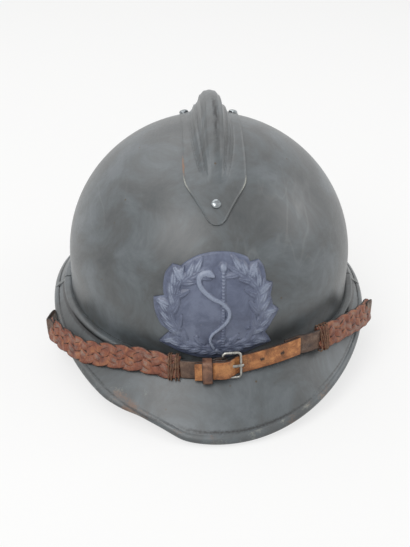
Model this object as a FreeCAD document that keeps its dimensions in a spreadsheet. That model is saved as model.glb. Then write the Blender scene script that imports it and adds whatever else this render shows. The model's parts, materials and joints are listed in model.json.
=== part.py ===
import FreeCAD, Part
import math
import os

import Sketcher

# A steel helmet with a crest, a stamped front plate, a riveted crest, a crimped brim in two
# parts, a laced leather liner on aluminium spacers and a plaited chin strap worn over the visor.
# Millimetres, +Z up, the front of the helmet towards -Y, the wearer's left towards +X.
# The origin lies on the table, under the middle of the helmet's outline.

SIZES = [
    # The bowl
    ("steel", 0.7, "thickness of the helmet's sheet steel"),
    ("dome_half_length", 109, "bowl, centre to front, outside"),
    ("dome_half_width", 99, "bowl, centre to side, outside"),
    ("wall_height", 24, "upright part of the bowl above its base"),
    ("crown_rise", 93, "rounded part of the bowl above the wall"),
    ("base_height", 33, "base of the bowl above the table"),
    ("ledge_reach", 4, "turned-out flange at the base of the bowl"),
    ("vent_length", 70, "vent slot under the crest"),
    ("vent_width", 12, "vent slot under the crest"),
    ("seat_gap", 0.1, "gap between fixed metal pieces"),
    ("running_gap", 0.3, "gap between pieces that move"),
    # The brim
    ("visor_reach", 148.4, "bowl centre to the front edge"),
    ("guard_reach", 140, "bowl centre to the rear edge"),
    ("brim_half_width", 111.6, "bowl centre to the side edge"),
    ("widest_back", 4.8, "how far behind the bowl centre the brim is widest"),
    ("edge_height", 2.4, "top of the brim's edge above the table"),
    ("side_slope", 0.87, "fall of the brim per unit of reach, at the sides"),
    ("hem_width", 2.6, "width of the folded hem"),
    ("hem_bead", 0.5, "height of the hem above the sheet"),
    ("seam_front", 5, "visor and neck guard meet this far ahead of the centre"),
    ("tab_length", 5, "visor tongue over the neck guard"),
    ("tab_slit", 1.6, "gap between the tongue and the ledge or the hem"),
    ("dent_angle", 32, "direction of the dent in the visor's edge, from the front"),
    ("dent_depth", 3.0, "how far the dent cuts into the visor's outline"),
    # The crest
    ("crest_steel", 0.8, "thickness of the crest's sheet"),
    ("crest_gap", 0.2, "gap between the crest's flange and the bowl"),
    ("crest_half_width", 20.3, "crest flange, centre to edge"),
    ("crest_front_shoulder", 60, "crest shoulder ahead of the bowl centre"),
    ("crest_front_tip", 84, "crest tip ahead of the bowl centre"),
    ("crest_rear_shoulder", 66, "crest shoulder behind the bowl centre"),
    ("crest_rear_tip", 90, "crest tip behind the bowl centre"),
    ("crest_tip_radius", 8, "rounding of the crest's tips"),
    ("ridge_height", 16.2, "height of the crest's ridge above the bowl"),
    ("ridge_foot", 14.8, "half width of the raised part of the crest"),
    ("ridge_front", 68, "ridge starts this far ahead of the bowl centre"),
    ("ridge_rear", 80, "ridge ends this far behind the bowl centre"),
    ("rivet_head", 3.2, "radius of a crest rivet's head"),
    ("rivet_rise", 1.9, "height of a crest rivet's head"),
    ("rivet_shank", 1.5, "radius of a crest rivet's shank"),
    ("front_rivet_ahead", 73, "front rivet ahead of the bowl centre"),
    ("rear_rivet_behind", 81, "rear rivet behind the bowl centre"),
    ("side_rivet_behind", 36, "side rivets behind the bowl centre"),
    ("side_rivet_out", 17.2, "side rivets off the middle"),
    # The front plate
    ("badge_half_width", 39, "front plate, centre to leaf tips"),
    ("badge_half_height", 34.5, "front plate, centre to top"),
    ("badge_centre", 39.5, "plate centre above the base of the bowl"),
    ("badge_plate", 0.8, "thickness of the plate's ground"),
    ("badge_relief", 1.3, "height of the wreath above the ground"),
    ("wreath_width", 10, "width of the wreath"),
    ("leaf_depth", 4.5, "depth of the notches between leaf tips"),
    ("leaves_a_side", 7, "leaf tips on each side of the wreath"),
    ("staff_radius", 1.3, "radius of the staff in the middle"),
    ("prong_width", 4, "fixing prongs on the back of the plate"),
    ("prong_spread", 20, "fixing prongs off the middle"),
    # The liner
    ("spacer_gap", 0.4, "bowl to corrugated spacer"),
    ("spacer_depth", 4.4, "depth of the spacers' waves"),
    ("spacer_sheet", 0.4, "thickness of the spacers' sheet"),
    ("spacer_height", 18, "height of the spacers"),
    ("spacer_span", 62, "angle that each spacer covers, in degrees"),
    ("spacer_waves", 7, "waves in a spacer"),
    ("wool_thickness", 2.2, "wool strip behind the leather"),
    ("wool_low", 5, "lower edge of the wool strip above the base"),
    ("wool_high", 36, "upper edge of the wool strip above the base"),
    ("leather", 1.6, "thickness of the liner's leather"),
    ("band_low", 1.5, "lower edge of the leather band above the base"),
    ("band_high", 42, "upper edge of the leather band above the base"),
    ("liner_gap", 0.3, "gap between the liner's layers"),
    ("cradle_rise", 46, "rise of the liner's tongues above the band"),
    ("tongue_count", 7, "tongues of the liner"),
    ("tongue_base", 40, "angle of a tongue at the band, in degrees"),
    ("tongue_tip", 13, "width of a tongue near its tip"),
    ("tongue_reach", 24, "tip of a tongue from the middle"),
    ("lace", 1.0, "radius of the liner's lace"),
    ("clip_width", 8, "width of a liner clip"),
    ("clip_sheet", 0.6, "thickness of a liner clip"),
    ("clip_height", 7, "height of a clip on the bowl and on the leather"),
    # The bails
    ("bail_wire", 1.1, "radius of the bails' wire"),
    ("bail_length", 20, "bail, front to rear, inside the wire"),
    ("bail_drop", 9, "bail, pivot to lower bar"),
    ("bail_inset", 3.6, "bail pivot inside the bowl's wall"),
    ("bail_below", 1.8, "bail pivot below the base of the bowl"),
    ("bail_ahead", 6, "bail centre ahead of the bowl centre"),
    ("bail_lean", 0, "angle of the bail outwards, in degrees"),
    ("tab_width", 12, "width of a bail's tab"),
    ("tab_sheet", 0.8, "thickness of a bail's tab"),
    ("tab_height", 4.6, "top of a bail's tab above the base"),
    ("tab_gap", 1.0, "bail's tab to the bowl's wall, at its middle"),
    # The chin strap
    ("strap_radius", 124.5, "radius of the strap's curve over the visor"),
    ("strap_back", 7.2, "centre of that curve behind the bowl centre"),
    ("strap_shift", 2.0, "centre of that curve right of the bowl centre"),
    ("strap_tilt", 7.8, "tilt of the strap's plane, front up, in degrees"),
    ("strap_roll", 2.0, "tilt of the strap's plane, left side up, in degrees"),
    ("strap_height", 5.1, "middle of the strap above the base, at the front"),
    ("braid_width", 15, "width of the plait"),
    ("braid_thickness", 4.2, "thickness of the plait"),
    ("braid_lean", 14, "lean of the plait's face, in degrees"),
    ("strap_width", 12.5, "width of the plain leather"),
    ("strap_leather", 1.8, "thickness of the plain leather"),
    ("wrap_left", 62.5, "where the left plait turns over the brim's edge, in degrees"),
    ("wrap_right", 59.2, "where the right plait turns over the brim's edge, in degrees"),
    ("plait_gap", 0.15, "gap between a plait and its neighbour, in degrees"),
    ("chape_end", 26, "end of the buckle piece, right of the buckle bar"),
    ("billet_end", 66, "end of the billet, left of the buckle bar"),
    ("billet_tip", 17, "tip of the billet, right of the buckle bar"),
    ("buckle_place", 5.5, "buckle bar left of the middle, along the strap"),
    ("bar_wire", 0.9, "radius of the buckle's wire"),
    ("bar_out", 3.4, "buckle bar outside the plait's middle"),
    ("buckle_span", 11, "buckle, bar to bar"),
    ("buckle_height", 17, "buckle, centre to centre of its wires"),
    ("tongue_width", 2.0, "width of the buckle's tongue"),
    ("tongue_sheet", 0.9, "thickness of the buckle's tongue"),
    ("keeper_place", 9.5, "keeper right of the buckle bar"),
    ("keeper_width", 6.5, "keeper along the strap"),
    ("keeper_leather", 1.3, "thickness of the keeper"),
    ("thread", 0.4, "radius of the lacing thread"),
]

doc = FreeCAD.newDocument("helmet")
sheet = doc.addObject("Spreadsheet::Sheet", "Sizes")
for row, (alias, number, note) in enumerate(SIZES, 1):
    sheet.set(f"A{row}", str(number))
    sheet.setAlias(f"A{row}", alias)
    sheet.set(f"B{row}", note)
doc.recompute()

DOME_Y = "(Sizes.visor_reach - Sizes.guard_reach) / 2"
BASE = "Sizes.base_height"
nodes = []


def size(alias):
    """The number that a cell of the sheet holds."""
    return float(getattr(sheet, alias))


def vector(x, y, z):
    return FreeCAD.Vector(x, y, z)


def bind(thing, **sizes):
    """Bind properties to expressions; two underscores stand for a dot."""
    for name, expression in sizes.items():
        thing.setExpression(name.replace("__", "."), expression)
    return thing


def node(thing, label):
    """Register a sub-part under the name of its file."""
    thing.Label = label
    nodes.append(thing)
    return thing


def boolean(kind, label, base, tool):
    thing = doc.addObject("Part::" + kind, label)
    thing.Base = base
    thing.Tool = tool
    return thing


def cut(label, base, tool):
    return boolean("Cut", label, base, tool)


def common(label, base, tool):
    return boolean("Common", label, base, tool)


def fuse(label, *shapes):
    thing = doc.addObject("Part::MultiFuse", label)
    thing.Shapes = list(shapes)
    return thing


def feature(label, shape, placement=None):
    """A shape made with Part's own functions from the sheet's sizes."""
    thing = doc.addObject("Part::Feature", label)
    own = shape.Placement
    thing.Shape = shape
    if placement:
        thing.Placement = placement.multiply(own)
    return thing


def box(label, length, width, height, x="0", y="0", z="0"):
    """A box whose lowest corner is at x, y, z; all are expressions."""
    thing = doc.addObject("Part::Box", label)
    return bind(thing, Length=length, Width=width, Height=height,
                Placement__Base__x=x, Placement__Base__y=y, Placement__Base__z=z)


def ellipse(label, half_width, half_length, z, y=DOME_Y):
    """A level ellipse, its long axis along Y."""
    thing = doc.addObject("Part::Ellipse", label)
    thing.Placement.Rotation = FreeCAD.Rotation(90, 0, 0)
    return bind(thing, MajorRadius=half_length, MinorRadius=half_width,
                Placement__Base__y=y, Placement__Base__z=z)


def extrusion(label, base, height):
    thing = doc.addObject("Part::Extrusion", label)
    thing.Base = base
    thing.DirMode = "Custom"
    thing.Dir = vector(0, 0, 1)
    thing.Solid = True
    return bind(thing, LengthFwd=height)


def oval(label, grow, low, high):
    """An upright prism on the bowl's plan, grown outwards, between two heights over the base."""
    outline = ellipse(label + "_outline", f"Sizes.dome_half_width + ({grow})",
                      f"Sizes.dome_half_length + ({grow})", f"{BASE} + ({low})")
    return extrusion(label, outline, f"({high}) - ({low})")


def ring(label, outer, inner, low, high):
    """A flat ring round the bowl's plan."""
    return cut(label, oval(label + "_outer", outer, low, high),
               oval(label + "_inner", inner, low, high))


def half_ellipsoid(label, half_width, half_length, rise, low):
    """The upper half of an ellipsoid over the bowl's plan; its poles lie at the sides."""
    cap = doc.addObject("Part::Ellipsoid", label)
    cap.Angle1 = -90
    cap.Angle2 = 90
    cap.Angle3 = 180
    cap.Placement.Rotation = FreeCAD.Rotation(vector(0, 1, 0), vector(0, 0, 1), vector(1, 0, 0),
                                              "XYZ")
    return bind(cap, Radius1=half_width, Radius2=half_length, Radius3=rise,
                Placement__Base__y=DOME_Y, Placement__Base__z=f"{BASE} + ({low})")


def bowl(label, grow):
    """The solid under the bowl's outer surface, grown outwards by a distance."""
    wall = oval(label + "_wall", grow, "0", "Sizes.wall_height")
    cap = half_ellipsoid(label + "_cap", f"Sizes.dome_half_width + ({grow})",
                         f"Sizes.dome_half_length + ({grow})", f"Sizes.crown_rise + ({grow})",
                         "Sizes.wall_height")
    return fuse(label, wall, cap)


def bowl_layer(label, outer, inner):
    return cut(label, bowl(label + "_outer", outer), bowl(label + "_inner", inner))


def slab(label, low, high):
    """Everything between two heights over the base."""
    return box(label, "4 * Sizes.dome_half_width", "4 * Sizes.dome_half_length",
               f"({high}) - ({low})", "-2 * Sizes.dome_half_width", "-2 * Sizes.dome_half_length",
               f"{BASE} + ({low})")


def polygon_sketch(body, name, plane, points):
    """A closed outline whose corners' coordinates are bound to expressions."""
    sketch = body.newObject("Sketcher::SketchObject", name)
    support = [origin for origin in body.Origin.OriginFeatures if origin.Role == plane][0]
    sketch.AttachmentSupport = [(support, "")]
    sketch.MapMode = "FlatFace"
    count = len(points)
    rough = [vector(10 * math.cos(math.tau * i / count), 10 * math.sin(math.tau * i / count), 0)
             for i in range(count)]
    for i in range(count):
        sketch.addGeometry(Part.LineSegment(rough[i], rough[(i + 1) % count]), False)
    for i in range(count):
        sketch.addConstraint(Sketcher.Constraint("Coincident", i, 2, (i + 1) % count, 1))
    for i, (across, up) in enumerate(points):
        for kind, start, expression in (("DistanceX", rough[i].x, across),
                                        ("DistanceY", rough[i].y, up)):
            index = sketch.addConstraint(Sketcher.Constraint(kind, i, 1, start))
            sketch.setExpression(f"Constraints[{index}]", expression)
    return sketch


def revolved(label, points, angle="360"):
    """A body revolved about its own Z axis from an outline in its XZ plane."""
    body = doc.addObject("PartDesign::Body", label)
    sketch = polygon_sketch(body, label + "_profile", "XZ_Plane", points)
    revolution = body.newObject("PartDesign::Revolution", label + "_revolution")
    revolution.Profile = sketch
    revolution.ReferenceAxis = (sketch, ["V_Axis"])
    return body, bind(revolution, Angle=angle)


def padded(label, plane, points, length):
    """A body padded both ways from an outline in one of its planes."""
    body = doc.addObject("PartDesign::Body", label)
    pad = body.newObject("PartDesign::Pad", label + "_pad")
    pad.Profile = polygon_sketch(body, label + "_profile", plane, points)
    pad.Midplane = True
    return body, bind(pad, Length=length)


def solid_from(points, height, base_z=0.0):
    """An upright prism on a list of plan points."""
    outline = Part.makePolygon([vector(x, y, base_z) for x, y in points] +
                               [vector(points[0][0], points[0][1], base_z)])
    return Part.Face(outline).extrude(vector(0, 0, height))


def rounded_wire(width, height, corner, radius):
    """A wire loop of round section in the YZ plane, centred on the origin."""
    w, h = width / 2, height / 2
    k = corner * (1 - math.sqrt(0.5))
    edges = []
    corners = [(w, h, 1, 1), (-w, h, -1, 1), (-w, -h, -1, -1), (w, -h, 1, -1)]
    for i, (y, z, sy, sz) in enumerate(corners):
        across, along = vector(0, y - sy * corner, z), vector(0, y, z - sz * corner)
        middle = vector(0, y - sy * k, z - sz * k)
        first, last = (along, across) if i % 2 == 0 else (across, along)
        edges.append(Part.Arc(first, middle, last).toShape())
    sides = [Part.LineSegment(edges[i].lastVertex().Point, edges[(i + 1) % 4].firstVertex().Point)
             for i in range(4)]
    path = [edge for pair in zip(edges, [side.toShape() for side in sides]) for edge in pair]
    start = sides[3].toShape().firstVertex().Point
    heading = (sides[3].EndPoint - sides[3].StartPoint).normalize()
    section = Part.Wire(Part.Circle(start, heading, radius).toShape())
    spine = Part.Wire([path[-1]] + path[:-1])
    return spine.makePipeShell([section], True, False)


dome_y = (size("visor_reach") - size("guard_reach")) / 2
base_z = size("base_height")


def bowl_point(x, y, grow=0.0):
    """Place and outward normal on the rounded part of the bowl; y from the bowl's centre."""
    a = size("dome_half_width") + grow
    b = size("dome_half_length") + grow
    c = size("crown_rise") + grow
    rise = c * math.sqrt(max(0.0, 1 - (x / a) ** 2 - (y / b) ** 2))
    place = vector(x, dome_y + y, base_z + size("wall_height") + rise)
    return place, vector(x / a ** 2, y / b ** 2, rise / c ** 2).normalize()


def plan_point(turn, grow):
    """A point on the bowl's plan, turned from the front towards the wearer's left."""
    return ((size("dome_half_width") + grow) * math.sin(turn),
            dome_y - (size("dome_half_length") + grow) * math.cos(turn))


def make_rivet_tool(label, x, y, radius):
    """A drill for a crest rivet, square to the bowl."""
    place, normal = bowl_point(x, y)
    drill = Part.makeCylinder(radius, 16, place - normal * 8, normal)
    return feature(label, drill)


RIVETS = {
    "crest_rivet_front": (0.0, -size("front_rivet_ahead")),
    "crest_rivet_rear": (0.0, size("rear_rivet_behind")),
    "side_left": (size("side_rivet_out"), size("side_rivet_behind")),
    "side_right": (-size("side_rivet_out"), size("side_rivet_behind")),
}
rivet_holes = fuse("rivet_holes", *[
    make_rivet_tool(name + "_hole", x, y, size("rivet_shank") + size("seat_gap"))
    for name, (x, y) in RIVETS.items()])


def make_shell():
    """The bowl, with its flange, the vent under the crest, rivet holes and prong slots."""
    skin = bowl("shell_outer", "0")
    flange = oval("shell_flange", "Sizes.ledge_reach", "0", "Sizes.steel")
    hollow = bowl("shell_hollow", "-Sizes.steel")
    vent = box("vent", "Sizes.vent_width", "Sizes.vent_length", "60", "-Sizes.vent_width / 2",
               f"{DOME_Y} - Sizes.vent_length / 2", f"{BASE} + Sizes.crown_rise")
    slots = []
    for side, sign in (("left", 1), ("right", -1)):
        slots.append(box(
            f"prong_slot_{side}", "Sizes.badge_plate + 4 * Sizes.seat_gap", "30",
            "Sizes.prong_width + 4 * Sizes.seat_gap",
            f"{sign} * Sizes.prong_spread - Sizes.badge_plate / 2 - 2 * Sizes.seat_gap",
            f"{DOME_Y} - Sizes.dome_half_length - 2",
            f"{BASE} + Sizes.badge_centre - Sizes.prong_width / 2 - 2 * Sizes.seat_gap"))
    holes = fuse("shell_holes", hollow, vent, rivet_holes, *slots)
    node(cut("shell", fuse("shell_blank", skin, flange), holes), "shell")


def brim_cone(label, shift, front_slope):
    """The solid under the brim's sloping surface, moved up or down; slopes are expressions."""
    start = "Sizes.ledge_reach + Sizes.seat_gap + Sizes.steel"
    top = f"{BASE} - 2 * Sizes.steel - Sizes.seat_gap + ({shift})"
    drop = "(Sizes.base_height + 6)"
    upper = ellipse(label + "_upper", f"Sizes.dome_half_width + {start}",
                    f"Sizes.dome_half_length + {start}", top)
    lower = ellipse(label + "_lower",
                    f"Sizes.dome_half_width + {start} + {drop} / Sizes.side_slope",
                    f"Sizes.dome_half_length + {start} + {drop} / ({front_slope})",
                    f"{top} - {drop}")
    cone = doc.addObject("Part::Loft", label)
    cone.Sections = [upper, lower]
    cone.Solid = True
    cone.Ruled = True
    return cone


def make_brim(label, reach, sign):
    """The visor or the neck guard: crimped fold, sloping sheet, hem and half of the side joint."""
    fall = (f"({BASE} - 2 * Sizes.steel - Sizes.seat_gap - Sizes.edge_height)"
            f" / ({reach} - Sizes.dome_half_length - Sizes.ledge_reach - Sizes.seat_gap"
            " - Sizes.steel)")
    widest = f"{DOME_Y} + Sizes.widest_back"
    long_half = f"{reach} + {sign} * Sizes.widest_back"
    sheet_drop = "1.35 * Sizes.steel"
    outline = extrusion(label + "_plan", ellipse(
        label + "_plan_outline", "Sizes.brim_half_width", long_half, "-10", widest),
        "2 * Sizes.base_height")
    inset = extrusion(label + "_inset", ellipse(
        label + "_inset_outline", "Sizes.brim_half_width - Sizes.hem_width",
        f"{long_half} - Sizes.hem_width", "-20", widest), "3 * Sizes.base_height")
    if label == "visor":
        outline = cut(label + "_dented_plan", outline, dent("dent", "0"))
        inset = cut(label + "_dented_inset", inset, dent("dent_inset", "Sizes.hem_width"))
    surface = brim_cone(label + "_surface", "0", fall)
    under = brim_cone(label + "_under", f"-{sheet_drop}", fall)
    bead = brim_cone(label + "_bead", "Sizes.hem_bead", fall)
    foot = brim_cone(label + "_foot", "-Sizes.edge_height", fall)
    inside = oval(label + "_inside", "Sizes.ledge_reach + Sizes.seat_gap", "-Sizes.base_height - 8",
                  "4 * Sizes.steel")
    slope = cut(label + "_slope", common(label + "_slope_plan", cut(
        label + "_sheet", surface, under), outline), inside)
    hem = common(label + "_hem", cut(label + "_hem_layer", bead, foot),
                 cut(label + "_hem_ring", outline, inset))
    edge = "Sizes.ledge_reach + Sizes.seat_gap"
    lip_low = "Sizes.steel + Sizes.seat_gap"
    seat_top = "-Sizes.seat_gap"
    collar = ring(label + "_collar", f"{edge} + Sizes.steel", edge, f"{seat_top} - 3 * Sizes.steel",
                  f"{lip_low} + Sizes.steel")
    lip = ring(label + "_lip", f"{edge} + Sizes.steel / 2", "Sizes.seat_gap * 3", lip_low,
               f"{lip_low} + Sizes.steel")
    seat = ring(label + "_seat", f"{edge} + Sizes.steel / 2", "0", f"{seat_top} - Sizes.steel",
                seat_top)
    whole = fuse(label + "_whole", slope, hem, collar, lip, seat)
    seam = f"{DOME_Y} - Sizes.seam_front"
    if label == "visor":
        half = box(label + "_half", "400", "400", "300", "-200", f"{seam} - 400", "-50")
        sheet_part = common(label + "_part", whole, half)
        layer = cut("tab_layer", brim_cone("tab_top", "2 * Sizes.steel + Sizes.seat_gap", fall),
                    brim_cone("tab_bottom", "Sizes.seat_gap", fall))
        root = cut("tab_root_layer", brim_cone("tab_root_top", "2 * Sizes.steel", fall),
                   brim_cone("tab_root_bottom", "-Sizes.steel / 2", fall))
        field = cut("tab_field", extrusion("tab_plan", ellipse(
            "tab_plan_outline", "Sizes.brim_half_width - Sizes.hem_width - Sizes.tab_slit",
            f"{long_half} - Sizes.hem_width - Sizes.tab_slit", "-5", widest),
            "2 * Sizes.base_height"), oval(
            "tab_inside", f"{edge} + Sizes.steel + Sizes.tab_slit", "-2 * Sizes.base_height", "30"))
        tongue = common("tab_tongue", layer, box(
            "tab_reach", "400", "Sizes.tab_length + 1", "300", "-200", f"{seam} - 1", "-50"))
        root_part = common("tab_root", root, box(
            "tab_root_reach", "400", "1.5", "300", "-200", f"{seam} - 1.5", "-50"))
        tabs = common("tabs", fuse("tab_parts", tongue, root_part), field)
        node(fuse("visor", sheet_part, tabs), "visor")
    else:
        half = box(label + "_half", "400", "400", "300", "-200", f"{seam} + 2 * Sizes.seat_gap",
                   "-50")
        node(common("neck_guard", whole, half), "neck_guard")


def dent(label, inset):
    """The ground outside the chord of the dent, on the wearer's right of the visor."""
    tool = doc.addObject("Part::Box", label)
    tool.Width = 60
    tool.Height = 200
    tool.Length = 160
    turn = math.radians(size("dent_angle"))
    half_width = size("brim_half_width")
    half_length = size("visor_reach") + size("widest_back")
    normal = vector(-math.sin(turn), -math.cos(turn), 0)
    support = math.hypot(half_width * normal.x, half_length * normal.y)
    step = size("hem_width") if inset != "0" else 0.0
    touch = vector(half_width ** 2 * normal.x / support, half_length ** 2 * normal.y / support, 0)
    middle = touch - normal * (size("dent_depth") + step)
    along = vector(normal.y, -normal.x, 0)
    corner = middle + vector(0, dome_y + size("widest_back"), -60) - along * 80
    rotation = FreeCAD.Rotation(along, normal, vector(0, 0, 1), "XYZ")
    tool.Placement = FreeCAD.Placement(corner, rotation)
    return tool


def crest_outline():
    """Plan of the crest: straight sides, then shoulders that taper to rounded tips."""
    half = size("crest_half_width")
    radius = size("crest_tip_radius")

    def tip(shoulder, reach):
        centre = reach - radius
        distance = math.hypot(half, centre - shoulder)
        lean = math.atan2(half, centre - shoulder) + math.acos(radius / distance)
        lean = math.pi - lean
        touch = vector(radius * math.sin(lean), centre + radius * math.cos(lean), 0)
        return touch, vector(0, reach, 0)

    rear_touch, rear_tip = tip(size("crest_rear_shoulder"), size("crest_rear_tip"))
    front_touch, front_tip = tip(size("crest_front_shoulder"), size("crest_front_tip"))
    front_touch.y *= -1
    front_tip.y *= -1
    right = [vector(half, -size("crest_front_shoulder"), 0),
             vector(half, size("crest_rear_shoulder"), 0)]

    def mirrored(point):
        return vector(-point.x, point.y, 0)

    line = Part.LineSegment
    edges = [Part.Arc(mirrored(front_touch), front_tip, front_touch), line(front_touch, right[0]),
             line(right[0], right[1]), line(right[1], rear_touch),
             Part.Arc(rear_touch, rear_tip, mirrored(rear_touch)),
             line(mirrored(rear_touch), mirrored(right[1])),
             line(mirrored(right[1]), mirrored(right[0])),
             line(mirrored(right[0]), mirrored(front_touch))]
    wire = Part.Wire([edge.toShape() for edge in edges])
    prism = Part.Face(wire).extrude(vector(0, 0, 3 * size("crown_rise")))
    prism.translate(vector(0, dome_y, 0))
    return prism


# Half of the ridge's section: share of its width and of its height
RIDGE_SECTION = ((0.0, 1.0), (0.24, 0.96), (0.46, 0.78), (0.58, 0.47), (0.72, 0.34), (0.86, 0.08),
                 (1.0, 0.0))
RIDGE_STATIONS = 36
RIDGE_COLUMNS = 32
CREST_MARGIN = 3.0
RIDGE_RUN_IN = 0.16


def smooth(share):
    """A ramp from 0 to 1 that starts and ends level."""
    share = min(1.0, max(0.0, share))
    return share * share * (3 - 2 * share)


def ridge_shape(share):
    """Height and half width of the ridge at a share of its length from the front."""
    if not 0 < share < 1:
        return 0.0, 0.3 * size("ridge_foot")
    height = 1 - abs(2 * share ** 1.15 - 1) ** 2.3
    height *= smooth(min(share, 1 - share) / RIDGE_RUN_IN)
    width = 0.3 + 0.7 * (1 - abs(2 * share - 1) ** 3)
    return size("ridge_height") * height, size("ridge_foot") * width


def ridge_rise(across):
    """Share of the ridge's height at a share of its half width."""
    for (near, high), (far, low) in zip(RIDGE_SECTION, RIDGE_SECTION[1:]):
        if across <= far:
            return high + (low - high) * smooth((across - near) / (far - near))
    return 0.0


def spaced(low, high, steps):
    """Places for the poles of an even cubic spline with clamped ends."""
    shares = [0.0, 1 / 3] + list(range(1, steps)) + [steps - 1 / 3, float(steps)]
    return [low + (high - low) * share / steps for share in shares]


def crest_body(inside):
    """A body up to the crest's outer or inner face, wider and longer than the crest."""
    front, rear = size("ridge_front"), size("ridge_rear")
    half = size("crest_half_width") + CREST_MARGIN
    skin = size("crest_gap") + (0.0 if inside else size("crest_steel"))
    rows = []
    for y in spaced(-size("crest_front_tip") - CREST_MARGIN, size("crest_rear_tip") + CREST_MARGIN,
                    RIDGE_STATIONS):
        height, foot = ridge_shape((y + front) / (front + rear))
        if inside:
            height = max(0.0, height - size("crest_steel") / 3)
            foot -= size("crest_steel") * 1.2
        row = []
        for x in spaced(-half, half, RIDGE_COLUMNS):
            place, normal = bowl_point(x, y)
            up = skin / normal.z + height * ridge_rise(abs(x) / foot)
            row.append(vector(x, dome_y + y, place.z + up))
        rows.append(row)
    poles = [row[:] for row in rows]
    for i in range(2, len(rows) - 2):
        for j, point in enumerate(rows[i]):
            around = rows[i - 1][j] + rows[i + 1][j]
            poles[i][j] = vector(point.x, point.y, (8 * point.z - around.z) / 6)
    surface = Part.BSplineSurface()
    surface.buildFromPolesMultsKnots(
        poles, [4] + [1] * (RIDGE_STATIONS - 1) + [4], [4] + [1] * (RIDGE_COLUMNS - 1) + [4],
        [float(knot) for knot in range(RIDGE_STATIONS + 1)],
        [float(knot) for knot in range(RIDGE_COLUMNS + 1)], False, False, 3, 3)
    return surface.toShape().extrude(vector(0, 0, -2 * size("ridge_height")))


def make_crest():
    """The hollow crest: a flange that follows the bowl and a ridge raised over it."""
    outline = feature("crest_plan", crest_outline())
    waste = fuse("crest_waste", feature("crest_hollow", crest_body(True)), rivet_holes)
    blank = common("crest_blank", feature("crest_top", crest_body(False)), outline)
    node(cut("crest", blank, waste), "crest")


def make_rivet(name):
    """A domed rivet: head over the crest, shank through it and the bowl, tail inside."""
    x, y = RIVETS[name]
    under_head = "Sizes.seat_gap * 2 + Sizes.crest_gap + Sizes.crest_steel"
    over_tail = "Sizes.steel + Sizes.seat_gap * 3"
    body, _ = revolved(name, [
        ("0", f"-({over_tail}) - 1.1"), ("Sizes.rivet_shank * 1.5", f"-({over_tail}) - 0.9"),
        ("Sizes.rivet_shank * 1.6", f"-({over_tail})"), ("Sizes.rivet_shank", f"-({over_tail})"),
        ("Sizes.rivet_shank", under_head), ("Sizes.rivet_head", under_head),
        ("Sizes.rivet_head * 0.96", f"{under_head} + Sizes.rivet_rise * 0.35"),
        ("Sizes.rivet_head * 0.77", f"{under_head} + Sizes.rivet_rise * 0.7"),
        ("Sizes.rivet_head * 0.42", f"{under_head} + Sizes.rivet_rise * 0.93"),
        ("0", f"{under_head} + Sizes.rivet_rise")])
    place, normal = bowl_point(x, y)
    body.Placement = FreeCAD.Placement(place, FreeCAD.Rotation(vector(0, 0, 1), normal))
    return body


def make_rivets():
    """One rivet at each end of the crest and a pair at its sides."""
    for name in ("crest_rivet_front", "crest_rivet_rear"):
        node(make_rivet(name), name)
    pair = doc.addObject("Part::Compound", "crest_side_rivets")
    pair.Links = [make_rivet("side_left"), make_rivet("side_right")]
    node(pair, "crest_side_rivets")


def wreath_outline(shrink, toothed):
    """Outline of the front plate in its XZ plane: leaf tips at the sides, smooth at the top."""
    half_width = size("badge_half_width") - shrink
    half_height = size("badge_half_height") - shrink
    leaves = int(size("leaves_a_side"))
    depth = size("leaf_depth") if toothed else 0.0
    start, end = math.radians(28), math.radians(172)
    right = [(half_width * math.sin(start * step / 5), half_height * math.cos(start * step / 5))
             for step in range(5)]
    for leaf in range(leaves):
        for part, notch in ((0.0, 1.0), (0.62, 0.0)):
            turn = start + (end - start) * (leaf + part) / leaves
            bite = depth * notch
            right.append(((half_width - bite) * math.sin(turn),
                          (half_height - bite * 0.7) * math.cos(turn)))
    right.append((0.0, -half_height + depth * 0.7))
    left = [(-x, z) for x, z in reversed(right[1:-1])]
    return right + left


def front_prism(points, depth=60.0):
    """A prism along Y on outline points about the plate's centre."""
    centre_z = base_z + size("badge_centre")
    front = dome_y - size("dome_half_length") - 10
    corners = [vector(x, front, centre_z + z) for x, z in points]
    return Part.Face(Part.makePolygon(corners + corners[:1])).extrude(vector(0, depth, 0))


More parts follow.
